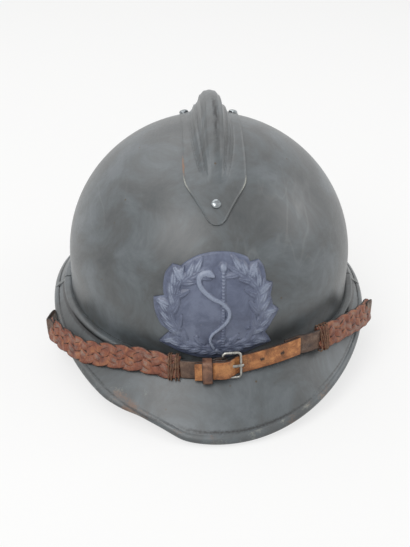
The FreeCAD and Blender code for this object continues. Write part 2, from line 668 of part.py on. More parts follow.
def make_badge():
    """The stamped plate: ground, wreath, staff with a serpent, and two prongs through the bowl."""
    gap = "2 * Sizes.seat_gap"
    ground_top = f"{gap} + Sizes.badge_plate"
    relief_top = f"{ground_top} + Sizes.badge_relief"
    plate = common("badge_ground", bowl("badge_ground_skin", ground_top),
                   feature("badge_outline", front_prism(wreath_outline(0.0, True))))
    width = size("wreath_width")
    wreath_shape = front_prism(wreath_outline(1.0, True)).cut(
        front_prism(wreath_outline(width, False)))
    staff_half = size("staff_radius")
    top, bottom = size("badge_half_height") - 0.6 * width, -size("badge_half_height") + width
    staff = front_prism([(-staff_half, bottom), (staff_half, bottom), (staff_half, top),
                         (-staff_half, top)])
    steps = 28
    swing, body_half = 3.4 * staff_half, 1.2 * staff_half
    left, right = [], []
    for step in range(steps + 1):
        share = step / steps
        x = swing * math.sin(math.radians(540) * share) * (1 - 0.3 * share)
        z = bottom + 3 + (top - bottom - 9) * share
        left.append((x - body_half * (1.15 - share * 0.5), z))
        right.append((x + body_half * (1.15 - share * 0.5), z))
    serpent = front_prism(left + right[::-1])
    relief = common("badge_relief", bowl("badge_relief_skin", relief_top), feature(
        "badge_relief_outline", wreath_shape.fuse([staff, serpent])))
    prongs = []
    for side, sign in (("left", 1), ("right", -1)):
        inner_y, _ = bowl_wall(size("prong_spread"), size("badge_centre"))
        thickness = size("badge_plate")
        width_z = size("prong_width")
        low = base_z + size("badge_centre") - width_z / 2
        x = sign * size("prong_spread")
        leg = Part.makeBox(thickness, size("steel") + 2.6, width_z,
                           vector(x - thickness / 2, inner_y - size("steel") - 0.4, low))
        bent_length = 7.0
        start = x - thickness / 2 if sign < 0 else x + thickness / 2 - bent_length
        bent = Part.makeBox(bent_length, thickness, width_z,
                            vector(start, inner_y + 2.2 - thickness, low))
        prongs.append(feature(f"prong_{side}", leg.fuse(bent)))
    body = cut("badge_body", fuse("badge_blank", plate, relief), bowl("badge_seat", gap))
    node(fuse("badge_plate", body, *prongs), "badge_plate")


def bowl_wall(x, height):
    """Y of the bowl's inside and outside at the front, at x and at a height over the base."""
    result = []
    for grow in (-size("steel"), 0.0):
        a, b = size("dome_half_width") + grow, size("dome_half_length") + grow
        c = size("crown_rise") + grow
        up = max(0.0, height - size("wall_height"))
        result.append(dome_y - b * math.sqrt(1 - (x / a) ** 2 - (up / c) ** 2))
    return result


LINER_OUT = "-Sizes.steel - Sizes.spacer_gap - Sizes.spacer_depth - Sizes.liner_gap"
LEATHER_OUT = f"{LINER_OUT} - Sizes.wool_thickness - Sizes.liner_gap"
LEATHER_IN = f"{LEATHER_OUT} - Sizes.leather"


def wave_strip(middle):
    """A corrugated strip that follows the bowl's plan about one direction."""
    sheet_half = size("spacer_sheet") / 2
    centre = -size("steel") - size("spacer_gap") - size("spacer_depth") / 2
    swing = size("spacer_depth") / 2 - sheet_half
    waves = int(size("spacer_waves"))
    steps = waves * 12
    span = math.radians(size("spacer_span"))
    inner, outer = [], []
    for step in range(steps + 1):
        share = step / steps
        turn = middle + span * (share - 0.5)
        grow = centre + swing * math.cos(math.tau * waves * share)
        thick = sheet_half * (1 + 0.9 * abs(math.sin(math.tau * waves * share)))
        outer.append(plan_point(turn, grow + thick))
        inner.append(plan_point(turn, grow - thick))
    return solid_from(outer + inner[::-1], size("spacer_height"), base_z + size("wool_low"))


def make_liner():
    """Spacers, wool strip, leather band and tongues, lace and the clips that hold them."""
    for label, degrees in (("spacer_front", 0), ("spacer_left", 90), ("spacer_rear", 180),
                           ("spacer_right", 270)):
        node(feature(label, wave_strip(math.radians(degrees))), label)
    wool = bowl_layer("wool_layer", LINER_OUT, f"{LINER_OUT} - Sizes.wool_thickness")
    node(common("wool_band", wool, slab("wool_slab", "Sizes.wool_low", "Sizes.wool_high")),
         "wool_band")
    leather = bowl_layer("leather_layer", LEATHER_OUT, LEATHER_IN)
    node(common("liner_band", leather, slab("band_slab", "Sizes.band_low", "Sizes.band_high")),
         "liner_band")
    rise = "(Sizes.band_high - Sizes.wall_height)"
    squeeze = f"sqrt(1 - ({rise} / Sizes.crown_rise) ^ 2)"
    shells = []
    for name, grow in (("cradle_outer", LEATHER_OUT), ("cradle_inner", LEATHER_IN)):
        shells.append(half_ellipsoid(
            name, f"(Sizes.dome_half_width + ({grow})) * {squeeze}",
            f"(Sizes.dome_half_length + ({grow})) * {squeeze}",
            f"Sizes.cradle_rise + ({grow}) - ({LEATHER_OUT})", "Sizes.band_high"))
    cradle = cut("cradle", shells[0], shells[1])
    node(common("liner_tongues", cradle, feature("tongue_plan", tongue_prisms())),
         "liner_tongues")
    make_lace()
    make_clips()


def tongue_prisms():
    """Upright prisms on the plan of the tongues, each with an eyelet for the lace."""
    count = int(size("tongue_count"))
    prisms = []
    outer = 0.0
    ratio = size("dome_half_width") / size("dome_half_length")
    for index in range(count):
        turn = math.tau * (index + 0.5) / count
        half = math.radians(size("tongue_base")) / 2
        tip_half = size("tongue_tip") / 2
        points = [plan_point(turn - half, outer), plan_point(turn + half, outer)]
        middle = 0.62 * size("dome_half_length")
        for across, reach in ((1.9, middle), (1.0, size("tongue_reach") + tip_half),
                              (0.7, size("tongue_reach") + 0.3 * tip_half),
                              (0.0, size("tongue_reach"))):
            points.append(((reach * math.sin(turn) + across * tip_half * math.cos(turn)) * ratio,
                           dome_y - reach * math.cos(turn) + across * tip_half * math.sin(turn)))
        for across, reach in ((0.7, size("tongue_reach") + 0.3 * tip_half),
                              (1.0, size("tongue_reach") + tip_half), (1.9, middle)):
            points.append(((reach * math.sin(turn) - across * tip_half * math.cos(turn)) * ratio,
                           dome_y - reach * math.cos(turn) - across * tip_half * math.sin(turn)))
        prism = solid_from(points, 2 * size("crown_rise"))
        eye = size("tongue_reach") + tip_half
        hole = Part.makeCylinder(1.5 * size("lace"), 3 * size("crown_rise"),
                                 vector(eye * math.sin(turn) * ratio,
                                        dome_y - eye * math.cos(turn), 0))
        prisms.append(prism.cut(hole))
    return Part.makeCompound(prisms)


def make_lace():
    """The lace that draws the tips of the tongues together, lying over them."""
    grow = size("steel") + size("spacer_gap") + size("spacer_depth") + 2 * size("liner_gap") + (
        size("wool_thickness"))
    squeeze = math.sqrt(1 - ((size("band_high") - size("wall_height")) / size("crown_rise")) ** 2)
    eye = size("tongue_reach") + size("tongue_tip") / 2
    reach = (size("dome_half_length") - grow) * squeeze
    fall = size("cradle_rise") * math.sqrt(1 - (eye / reach) ** 2)
    height = base_z + size("band_high") + fall + size("lace") * 1.4
    torus = Part.makeTorus(eye, size("lace"), vector(0, dome_y, height))
    node(feature("liner_lace", torus), "liner_lace")


def make_clips():
    """Four sheet clips, held on the bowl's wall, that hook under the liner and up inside it."""
    clips = []
    sheet_t = "Sizes.clip_sheet"
    wall_in = "-Sizes.steel - Sizes.seat_gap"
    hook_in = f"{LEATHER_IN} - Sizes.liner_gap"
    low = "Sizes.band_low - Sizes.liner_gap"
    top = f"{low} + Sizes.clip_height"
    wall_top = "Sizes.wool_low + Sizes.clip_height"
    for index in range(4):
        turn = math.radians(45 + 90 * index)
        name = f"clip_{index + 1}"
        body, _ = padded(name, "XZ_Plane", [
            (wall_in, f"{low} - {sheet_t}"), (wall_in, wall_top),
            (f"{wall_in} - {sheet_t}", wall_top), (f"{wall_in} - {sheet_t}", low),
            (hook_in, low), (hook_in, top), (f"{hook_in} - {sheet_t}", top),
            (f"{hook_in} - {sheet_t}", f"{low} - {sheet_t}")], "Sizes.clip_width")
        x, y = plan_point(turn, 0.0)
        a, b = size("dome_half_width"), size("dome_half_length")
        normal = vector(x / a ** 2, (y - dome_y) / b ** 2, 0).normalize()
        sag = size("clip_width") ** 2 / 8 / a * 1.6
        body.Placement = FreeCAD.Placement(vector(x, y, base_z) - normal * sag, FreeCAD.Rotation(
            normal, vector(0, 0, 1).cross(normal), vector(0, 0, 1), "XYZ"))
        clips.append(body)
    group = doc.addObject("Part::Compound", "liner_clips")
    group.Links = clips
    node(group, "liner_clips")


def bail_pivot(sign):
    """The middle of a bail's upper bar; the sign is 1 on the wearer's left."""
    return vector(sign * (size("dome_half_width") - size("steel") - size("bail_inset")),
                  dome_y - size("bail_ahead"), base_z - size("bail_below"))


def bail_down(sign):
    """The direction from a bail's pivot to its lower bar."""
    lean = math.radians(size("bail_lean"))
    return vector(sign * math.sin(lean), 0, -math.cos(lean))


def make_bails():
    """The wire loops inside the sides, the folded tabs that carry them and the strap's loops."""
    wire = size("bail_wire")
    for side, sign in (("left", 1), ("right", -1)):
        pivot, down = bail_pivot(sign), bail_down(sign)
        loop = rounded_wire(size("bail_length") + 2 * wire, size("bail_drop"), 2.4 * wire, wire)
        centre = pivot + down * (size("bail_drop") / 2)
        turn = FreeCAD.Rotation(vector(0, 1, 0), -sign * size("bail_lean"))
        node(feature(f"bail_{side}", loop, FreeCAD.Placement(centre, turn)), f"bail_{side}")

        sheet_t, gap = size("tab_sheet"), size("running_gap")
        width = size("tab_width")
        sleeve = Part.makeCylinder(wire + gap + sheet_t, width, vector(0, -width / 2, 0),
                                   vector(0, 1, 0))
        wall_gap = size("bail_inset") - size("tab_gap")
        leg = Part.makeBox(sheet_t, width, size("tab_height") + size("bail_below"),
                           vector(wall_gap - sheet_t, -width / 2, 0))
        web = Part.makeBox(wall_gap, width, sheet_t, vector(0, -width / 2, wire + gap))
        bore = Part.makeCylinder(wire + gap, 2 * width, vector(0, -width, 0), vector(0, 1, 0))
        tab = sleeve.fuse([leg, web]).cut(bore)
        if sign < 0:
            tab = tab.mirror(vector(0, 0, 0), vector(1, 0, 0))
        tab.translate(pivot)
        node(feature(f"bail_tab_{side}", tab), f"bail_tab_{side}")

        leather = size("strap_leather")
        low_bar = pivot + down * size("bail_drop")
        hug = wire + gap
        span = size("strap_width")
        outer = Part.makeCylinder(hug + leather, span, vector(0, -span / 2, 0), vector(0, 1, 0))
        tail = Part.makeBox(leather * 2, span, hug + leather + 2.2,
                            vector(-leather, -span / 2, -hug - leather - 2.2))
        core = Part.makeCylinder(hug, 2 * span, vector(0, -span, 0), vector(0, 1, 0))
        fold = outer.fuse(tail).cut(core)
        label = f"strap_loop_{side}"
        node(feature(label, fold, FreeCAD.Placement(low_bar, turn)), label)


strap_origin = vector(
    -size("strap_shift"), dome_y + size("strap_back"),
    base_z + size("strap_height")
    - size("strap_radius") * math.sin(math.radians(size("strap_tilt"))))
strap_frame = FreeCAD.Placement(
    strap_origin, FreeCAD.Rotation(vector(1, 0, 0), -size("strap_tilt")).multiply(
        FreeCAD.Rotation(vector(0, 1, 0), -size("strap_roll"))))


def strap_turn(degrees):
    """Placement on the strap's curve; X points outwards and Y towards the wearer's left."""
    return strap_frame.multiply(FreeCAD.Placement(
        vector(0, 0, 0), FreeCAD.Rotation(vector(0, 0, 1), degrees - 90)))


def strap_degrees(along):
    """Angle on the curve of a distance along the strap from the middle."""
    return math.degrees(along / size("strap_radius"))


def make_braid(label, start, end):
    """A plait that follows the strap's curve, leaning back against the bowl."""
    half_w, half_t = "Sizes.braid_width / 2", "Sizes.braid_thickness / 2"
    sine, cosine = "sin(Sizes.braid_lean)", "cos(Sizes.braid_lean)"
    corners = []
    for up, out in ((-1, -1), (-1, 1), (1, 1), (1, -1)):
        corners.append((
            f"Sizes.strap_radius - {up} * {half_w} * {sine} + {out} * {half_t} * {cosine}",
            f"{up} * {half_w} * {cosine} + {out} * {half_t} * {sine}"))
    body, _ = revolved(label, corners, f"{end - start}")
    body.Placement = strap_turn(start)
    node(body, label)


def polar_band(path, thickness, width):
    """A strip of leather on edge: path points are (along the strap, out from the bar)."""
    bar = size("strap_radius") + size("bar_out")
    dense = []
    for (t0, r0), (t1, r1) in zip(path, path[1:]):
        steps = max(1, round(abs(t1 - t0) / 3))
        dense += [(t0 + (t1 - t0) * i / steps, r0 + (r1 - r0) * i / steps) for i in range(steps)]
    dense.append(path[-1])

    def place(along, out):
        turn = along / size("strap_radius")
        return vector((bar + out) * math.sin(turn), -(bar + out) * math.cos(turn), 0)

    spine = [place(t, r) for t, r in dense]
    sides = [[], []]
    for i, point in enumerate(spine):
        ahead = spine[min(i + 1, len(spine) - 1)] - spine[max(i - 1, 0)]
        across = vector(-ahead.y, ahead.x, 0).normalize() * (thickness / 2)
        sides[0].append(point + across)
        sides[1].append(point - across)
    corners = sides[0] + sides[1][::-1]
    face = Part.Face(Part.makePolygon(corners + corners[:1]))
    band = face.extrude(vector(0, 0, width))
    band.translate(vector(0, 0, -width / 2))
    return band


def at_bar(along):
    """Placement of a piece at a distance along the strap, on the level of the buckle's bar."""
    return strap_turn(strap_degrees(along)).multiply(FreeCAD.Placement(
        vector(size("strap_radius") + size("bar_out"), 0, 0), FreeCAD.Rotation()))


def make_buckle():
    """The buckle: folded piece, frame, tongue, keeper and the billet threaded through them."""
    leather, gap = size("strap_leather"), size("running_gap")
    width, wire = size("strap_width"), size("bar_wire")
    bar_at, span = size("buckle_place"), size("buckle_span")
    bore_radius = wire + gap
    fold_out = bore_radius + leather
    lining = leather + 0.5
    tuck = 0.15
    deep = -fold_out + tuck + lining / 2
    lap_from, lap_rise = 7.0, 4.5

    under_part = polar_band([(bar_at - size("chape_end"), deep), (bar_at, deep)], lining, width)
    upper_part = polar_band([(bar_at - lap_from, deep + leather), (bar_at - lap_rise, deep + leather),
                             (bar_at - 1.0, fold_out - tuck - leather / 2),
                             (bar_at, fold_out - tuck - leather / 2)], leather, width)
    local = FreeCAD.Placement(vector(0, 0, 0), FreeCAD.Rotation(
        vector(0, 0, 1), strap_degrees(bar_at) - 90)).multiply(FreeCAD.Placement(
            vector(size("strap_radius") + size("bar_out"), 0, 0), FreeCAD.Rotation()))
    prong_half = size("tongue_width") / 2
    eye_out = bore_radius + size("tongue_sheet")
    slot_half = prong_half + 2 * gap
    fold = Part.makeCylinder(fold_out, width, vector(0, 0, -width / 2))
    bore = Part.makeCylinder(bore_radius, 2 * width, vector(0, 0, -width))
    slot = Part.makeBox(9, 12, 2 * slot_half, vector(-eye_out - gap, -eye_out - gap, -slot_half))
    for shape in (fold, bore, slot):
        shape.Placement = local.multiply(shape.Placement)
    chape = under_part.fuse([upper_part, fold]).cut(bore.fuse(slot))
    node(feature("buckle_strap", chape, strap_frame), "buckle_strap")

    frame = rounded_wire(span, size("buckle_height"), 2.2, wire)
    frame.translate(vector(0, span / 2, 0))
    node(feature("buckle_frame", frame, at_bar(bar_at)), "buckle_frame")

    eye = Part.makeCylinder(eye_out, 2 * prong_half, vector(0, 0, -prong_half))
    shaft = Part.makeBox(size("tongue_sheet"), span + 1.6, 2 * prong_half,
                         vector(bore_radius, 0, -prong_half))
    pin = Part.makeCylinder(bore_radius, 4 * prong_half, vector(0, 0, -2 * prong_half))
    node(feature("buckle_tongue", eye.fuse(shaft).cut(pin), at_bar(bar_at)), "buckle_tongue")

    low = -bore_radius - leather / 2
    high = fold_out + gap + leather / 2
    on_lap = deep + 2 * leather + gap + 0.2
    rest = deep + lining / 2 + leather / 2 + gap
    billet = polar_band([(bar_at + size("billet_end"), low), (bar_at + span - 2.2, low),
                         (bar_at + 3.2, high - 0.9), (bar_at + 1.8, high), (bar_at - 1.8, high),
                         (bar_at - 5.6, on_lap), (bar_at - lap_from - 2.0, on_lap),
                         (bar_at - 13.0, rest), (bar_at - size("billet_tip"), rest)],
                        leather, width)
    window = Part.makeBox(14, 6.4, 2 * slot_half, vector(-5, 1.6, -slot_half))
    window.Placement = local.multiply(window.Placement)
    node(feature("billet_strap", billet.cut(window), strap_frame), "billet_strap")

    inner_low = deep - lining / 2 - gap
    inner_high = on_lap + leather / 2 + 2 * gap
    wall = size("keeper_leather")
    keeper = Part.makeBox(inner_high - inner_low + 2 * wall, size("keeper_width"),
                          width + 2 * gap + 2 * wall,
                          vector(inner_low - wall, -size("keeper_width") / 2,
                                 -width / 2 - gap - wall))
    hollow = Part.makeBox(inner_high - inner_low, 20, width + 2 * gap,
                          vector(inner_low, -10, -width / 2 - gap))
    node(feature("keeper", keeper.cut(hollow), at_bar(bar_at - size("keeper_place"))), "keeper")


def make_lacing():
    """Turns of thread that lash each plait close to its plain leather."""
    thread, bar_at = size("thread"), size("buckle_place")
    slack = 2 * (thread + size("running_gap"))
    upright = FreeCAD.Rotation(vector(0, 1, 0), vector(0, 0, 1), vector(1, 0, 0), "XYZ")
    lean = FreeCAD.Rotation(vector(0, 1, 0), -size("braid_lean"))
    for side, start, direction in (("right", bar_at - size("chape_end"), -1),
                                   ("left", bar_at + size("billet_end"), 1)):
        turns = []
        for turn in range(4):
            loop = rounded_wire(size("braid_width") + slack, size("braid_thickness") + slack, 1.0,
                                thread)
            along = start + direction * (2.2 + 2.0 * turn)
            loop.Placement = strap_turn(strap_degrees(along)).multiply(FreeCAD.Placement(
                vector(size("strap_radius"), 0, 0), lean.multiply(upright)))
            turns.append(loop)
        node(feature(f"lacing_{side}", Part.makeCompound(turns)), f"lacing_{side}")


def make_strap_end(side, sign):
    """The plain leather from a plait's end, round the brim's edge, to the loop on the bail."""
    leather, gap = size("strap_leather"), size("running_gap")
    turned = strap_turn(sign * (size(f"wrap_{side}") + size("plait_gap")))
    start = turned.multVec(vector(size("strap_radius"), 0, 0))
    outward = turned.Rotation.multVec(vector(1, 0, 0))
    pivot, down = bail_pivot(sign), bail_down(sign)
    tail = size("bail_drop") + size("bail_wire") + gap + leather + 2.2
    finish = pivot + down * (tail + gap)
    curve = Part.BSplineCurve()
    below_edge = vector(sign * 108.6, dome_y - 33, base_z - 19)
    lowest = vector(sign * 102.5, dome_y - 11, base_z - 24.5)
    curve.interpolate(Points=[start, below_edge, lowest, finish],
                      InitialTangent=turned.Rotation.multVec(vector(0, sign, 0)),
                      FinalTangent=down * -1)
    first, last = curve.FirstParameter, curve.LastParameter
    wires = []
    steps = 14
    for step in range(steps + 1):
        share = step / steps
        parameter = first + (last - first) * share
        centre, heading = curve.value(parameter), vector(*curve.tangent(parameter)[0])
        out = outward * (1 - share) + vector(sign, 0, 0) * share
        out = (out - heading * out.dot(heading)).normalize()
        reach = out.cross(heading).normalize() * (size("strap_width") / 2)
        out = out * (leather / 2)
        corners = [centre - reach - out, centre + reach - out, centre + reach + out,
                   centre - reach + out]
        wires.append(Part.makePolygon(corners + corners[:1]))
    node(feature(f"strap_end_{side}", Part.makeLoft(wires, True, True)), f"strap_end_{side}")


make_shell()
make_brim("visor", "Sizes.visor_reach", 1)
make_brim("neck_guard", "Sizes.guard_reach", -1)
make_crest()
make_rivets()
make_badge()
make_liner()
make_bails()
plain_right = strap_degrees(size("buckle_place") - size("chape_end"))
plain_left = strap_degrees(size("buckle_place") + size("billet_end"))
make_braid("braid_right", -size("wrap_right"), plain_right - size("plait_gap"))
make_braid("braid_left", plain_left + size("plait_gap"), size("wrap_left"))
make_buckle()
make_lacing()
make_strap_end("left", 1)
make_strap_end("right", -1)

doc.recompute()
for thing in doc.Objects:
    if "Invalid" in thing.State or "Error" in thing.State:
        raise RuntimeError(f"{thing.Label} failed: {thing.State}")
for thing in nodes:
    if thing.Shape.isNull() or not thing.Shape.isValid():
        raise RuntimeError(f"{thing.Label} is not a valid shape")
os.makedirs("parts", exist_ok=True)
for thing in nodes:
    thing.Shape.exportStep(f"parts/{thing.Label}.step")
    solids = thing.Shape.Solids
    print(thing.Label, len(solids), "solids", round(thing.Shape.Volume, 1), "mm3")
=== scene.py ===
"""Looks of a steel helmet with a comb, a stamped front plate and a plaited chin strap.

Sizes are in millimetres unless a name says otherwise, +Z is up, the front is towards -Y and the
wearer's left towards +X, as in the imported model. Each class builds one sub-assembly.
"""

from __future__ import annotations

import json
import logging
import math
import random
from dataclasses import dataclass, field
from enum import Enum
from typing import Callable, Sequence

import bmesh
import bpy
import numpy as np
from mathutils import Matrix, Vector, noise

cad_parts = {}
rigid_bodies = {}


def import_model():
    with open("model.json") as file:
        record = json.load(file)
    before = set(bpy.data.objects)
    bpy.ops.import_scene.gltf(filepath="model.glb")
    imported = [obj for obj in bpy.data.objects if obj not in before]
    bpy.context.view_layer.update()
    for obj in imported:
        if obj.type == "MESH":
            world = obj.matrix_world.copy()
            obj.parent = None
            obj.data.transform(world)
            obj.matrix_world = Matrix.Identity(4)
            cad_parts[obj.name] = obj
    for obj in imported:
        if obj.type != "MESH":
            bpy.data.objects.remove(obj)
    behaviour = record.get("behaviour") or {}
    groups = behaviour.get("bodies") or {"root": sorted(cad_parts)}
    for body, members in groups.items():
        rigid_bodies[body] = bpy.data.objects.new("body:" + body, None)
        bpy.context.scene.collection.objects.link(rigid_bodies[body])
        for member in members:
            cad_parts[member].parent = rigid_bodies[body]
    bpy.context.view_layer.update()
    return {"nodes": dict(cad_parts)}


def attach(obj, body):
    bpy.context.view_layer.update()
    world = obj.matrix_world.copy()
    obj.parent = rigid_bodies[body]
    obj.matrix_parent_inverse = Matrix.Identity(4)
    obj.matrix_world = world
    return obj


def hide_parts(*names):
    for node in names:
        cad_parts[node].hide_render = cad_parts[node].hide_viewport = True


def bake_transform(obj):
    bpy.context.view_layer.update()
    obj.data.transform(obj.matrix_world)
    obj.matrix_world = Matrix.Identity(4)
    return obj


log = logging.getLogger("helmet")

MM = 0.001
IMAGE_HEIGHT = 547
RAMP_ENDS = (0.36, 0.64)  # where a finish's darkest and lightest colours sit in the noise
SHARP_ANGLE = math.radians(50)
Placer = Callable[[float, float], Vector]
Point = tuple[float, float, float]


class Body(str, Enum):
    """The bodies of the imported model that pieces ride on."""

    HELMET = "helmet"
    STRAP = "chinstrap"
    PRONG = "prong"
    SLIDER = "slider"
    LEFT_BAIL = "left_bail"
    RIGHT_BAIL = "right_bail"


def linear(code: str) -> tuple[float, float, float, float]:
    """Turn an sRGB hex code such as '5d666b' into a linear colour with alpha.

    Args:
        code: six hex digits.

    Returns:
        Red, green, blue and alpha from 0 to 1.
    """
    parts = [int(code[i:i + 2], 16) / 255 for i in (0, 2, 4)]
    low = [c / 12.92 if c <= 0.04045 else ((c + 0.055) / 1.055) ** 2.4 for c in parts]
    return (low[0], low[1], low[2], 1.0)


def smooth(share: float) -> float:
    """A ramp from 0 to 1 that starts and ends level."""
    share = min(1.0, max(0.0, share))
    return share * share * (3 - 2 * share)


def soft_least(first: float, second: float, blend: float) -> float:
    """The smaller of two values, rounded off where they meet."""
    return (first + second - math.hypot(first - second, blend)) / 2


def mixed(low: float, high: float, share: float) -> float:
    """A value between low and high."""
    return low + (high - low) * share


# ---------------------------------------------------------------- shapes


@dataclass
class Piece:
    """A finished mesh and the body that it rides on.

    Attributes:
        name: name of the piece.
        body: CAD body that carries it.
        slot: material slot of the record; not used.
        stands_for: CAD nodes that it replaces.
    """

    name: str
    body: Body
    slot: str
    stands_for: tuple[str, ...] = ()


def grid_object(name: str, columns: int, rows: int, place: Placer,
                size_mm: tuple[float, float], thickness: float = 0.0, flip: bool = False,
                keep: Callable[[Vector], bool] | None = None) -> bpy.types.Object:
    """Bend a flat grid into a piece and give it a UV map in metres.

    Args:
        name: name of the new object.
        columns: faces along u.
        rows: faces along v.
        place: gives the point in millimetres for u and v from 0 to 1.
        size_mm: real length of the u and v sides, for the UV map.
        thickness: wall that is added on the inner side, in millimetres.
        flip: turns the faces round.
        keep: tells which face centres, in millimetres, stay.

    Returns:
        The new object, linked to the scene.
    """
    bm = bmesh.new()
    layer = bm.loops.layers.uv.new("UVMap")
    bmesh.ops.create_grid(bm, x_segments=columns, y_segments=rows, size=0.5)
    for face in bm.faces:
        for loop in face.loops:
            loop[layer].uv = ((loop.vert.co.x + 0.5) * size_mm[0] * MM,
                              (loop.vert.co.y + 0.5) * size_mm[1] * MM)
    for vert in bm.verts:
        vert.co = place(min(1.0, max(0.0, vert.co.x + 0.5)),
                        min(1.0, max(0.0, vert.co.y + 0.5))) * MM
    if keep:
        gone = [face for face in bm.faces if not keep(face.calc_center_median() / MM)]
        bmesh.ops.delete(bm, geom=gone, context="FACES")
    bmesh.ops.remove_doubles(bm, verts=bm.verts[:], dist=2e-6)
    bmesh.ops.dissolve_degenerate(bm, edges=bm.edges[:], dist=1e-7)
    if flip:
        bmesh.ops.reverse_faces(bm, faces=bm.faces[:])
    if thickness:
        bmesh.ops.solidify(bm, geom=bm.faces[:], thickness=thickness * MM)
    for face in bm.faces:
        face.smooth = True
    data = bpy.data.meshes.new(name)
    bm.to_mesh(data)
    bm.free()
    if thickness:
        data.set_sharp_from_angle(angle=SHARP_ANGLE)
    thing = bpy.data.objects.new(name, data)
    bpy.context.scene.collection.objects.link(thing)
    return thing


def mark(thing: bpy.types.Object, layer: str, value: Callable[[Vector], float]) -> None:
    """Store a number at each vertex, from its place in millimetres.

    Args:
        thing: mesh object.
        layer: name of the attribute.
        value: gives the number for a place.
    """
    attribute = thing.data.attributes.new(layer, "FLOAT", "POINT")
    attribute.data.foreach_set("value", [value(v.co / MM) for v in thing.data.vertices])


def settle(thing: bpy.types.Object, piece: Piece, material: bpy.types.Material) -> None:
    """Dress a piece, put it on its body and hide what it stands for.

    Args:
        thing: the object.
        piece: its name, body, slot and replaced nodes.
        material: its finish.
    """
    thing.data.materials.clear()
    thing.data.materials.append(material)
    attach(thing, piece.body.value)
    if piece.stands_for:
        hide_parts(*piece.stands_for)
    log.info("piece %s on %s", thing.name, piece.body.value)


def smooth_path(points: Sequence[Vector], count: int) -> list[Vector]:
    """Points on an even Catmull-Rom curve through some points.

    Args:
        points: points to pass through.
        count: number of points wanted.

    Returns:
        The points along the curve.
    """
    ends = [points[0] * 2 - points[1], *points, points[-1] * 2 - points[-2]]
    result = []
    for i in range(count):
        where = i / (count - 1) * (len(points) - 1)
        k = min(int(where), len(points) - 2)
        t = where - k
        a, b, c, d = ends[k:k + 4]
        result.append(0.5 * ((2 * b) + (c - a) * t + (2 * a - 5 * b + 4 * c - d) * t * t
                             + (3 * b - a - 3 * c + d) * t ** 3))
    return result


def headings(points: Sequence[Vector]) -> list[Vector]:
    """Direction of a path at each of its points."""
    last = len(points) - 1
    return [(points[min(i + 1, last)] - points[max(i - 1, 0)]).normalized()
            for i in range(last + 1)]


@dataclass
class Section:
    """A rounded cross-section: half width, half thickness and squareness from 0 to 1."""

    half_width: float
    half_thickness: float
    square: float = 0.6

    def point(self, share: float) -> tuple[float, float]:
        """Across and out offsets at a share of the way round.

        Args:
            share: share of the way round, from 0 to 1.

        Returns:
            The two offsets in millimetres.
        """
        turn = math.tau * share
        power = mixed(1.0, 0.3, self.square)
        c, s = math.cos(turn), math.sin(turn)
        return (self.half_width * math.copysign(abs(c) ** power, c),
                self.half_thickness * math.copysign(abs(s) ** power, s))


@dataclass
class Station:
    """A place on a strip's middle line with its width and thickness directions."""

    middle: Vector
    across: Vector
    out: Vector
    scale: float = 1.0


def strip_object(name: str, stations: Sequence[Station], section: Section, sides: int = 16,
                 closed: bool = False) -> bpy.types.Object:
    """Sweep a rounded section along stations and close its ends.

    Args:
        name: name of the new object.
        stations: places along the strip.
        section: cross-section.
        sides: faces round the section.
        closed: joins the last station to the first.

    Returns:
        The new object.
    """
    count = len(stations)
    columns = count if closed else count + 1

    def place(u: float, v: float) -> Vector:
        """Point of the swept surface."""
        step = round(u * columns)
        if closed:
            station, scale = stations[step % count], 1.0
        else:
            station = stations[min(max(step - 1, 0), count - 1)]
            scale = 0.0 if step in (0, columns) else station.scale
        across, out = section.point(v)
        return station.middle + station.across * (across * scale) + station.out * (out * scale)

    length = sum((b.middle - a.middle).length for a, b in zip(stations, stations[1:]))
    girth = 4 * (section.half_width + section.half_thickness)
    thing = grid_object(name, columns, sides, place, (length, girth))
    bm = bmesh.new()
    bm.from_mesh(thing.data)
    bmesh.ops.recalc_face_normals(bm, faces=bm.faces[:])
    bm.to_mesh(thing.data)
    bm.free()
    return thing


# ---------------------------------------------------------------- materials


def add_node(tree: bpy.types.NodeTree, kind: str, settings: dict[str, object] | None = None,
             inputs: dict[object, object] | None = None) -> bpy.types.Node:
    """Add a node, set its properties, and set or link its inputs.

    Args:
        tree: node tree of the material.
        kind: Blender's name of the node type.
        settings: properties of the node.
        inputs: values, or output sockets to link, by input name or number.

    Returns:
        The node.
    """
    made = tree.nodes.new(kind)
    for key, value in (settings or {}).items():
        setattr(made, key, value)
    for key, value in (inputs or {}).items():
        socket = made.inputs[key]
        if isinstance(value, bpy.types.NodeSocket):
            tree.links.new(value, socket)
        else:
            socket.default_value = value
    return made


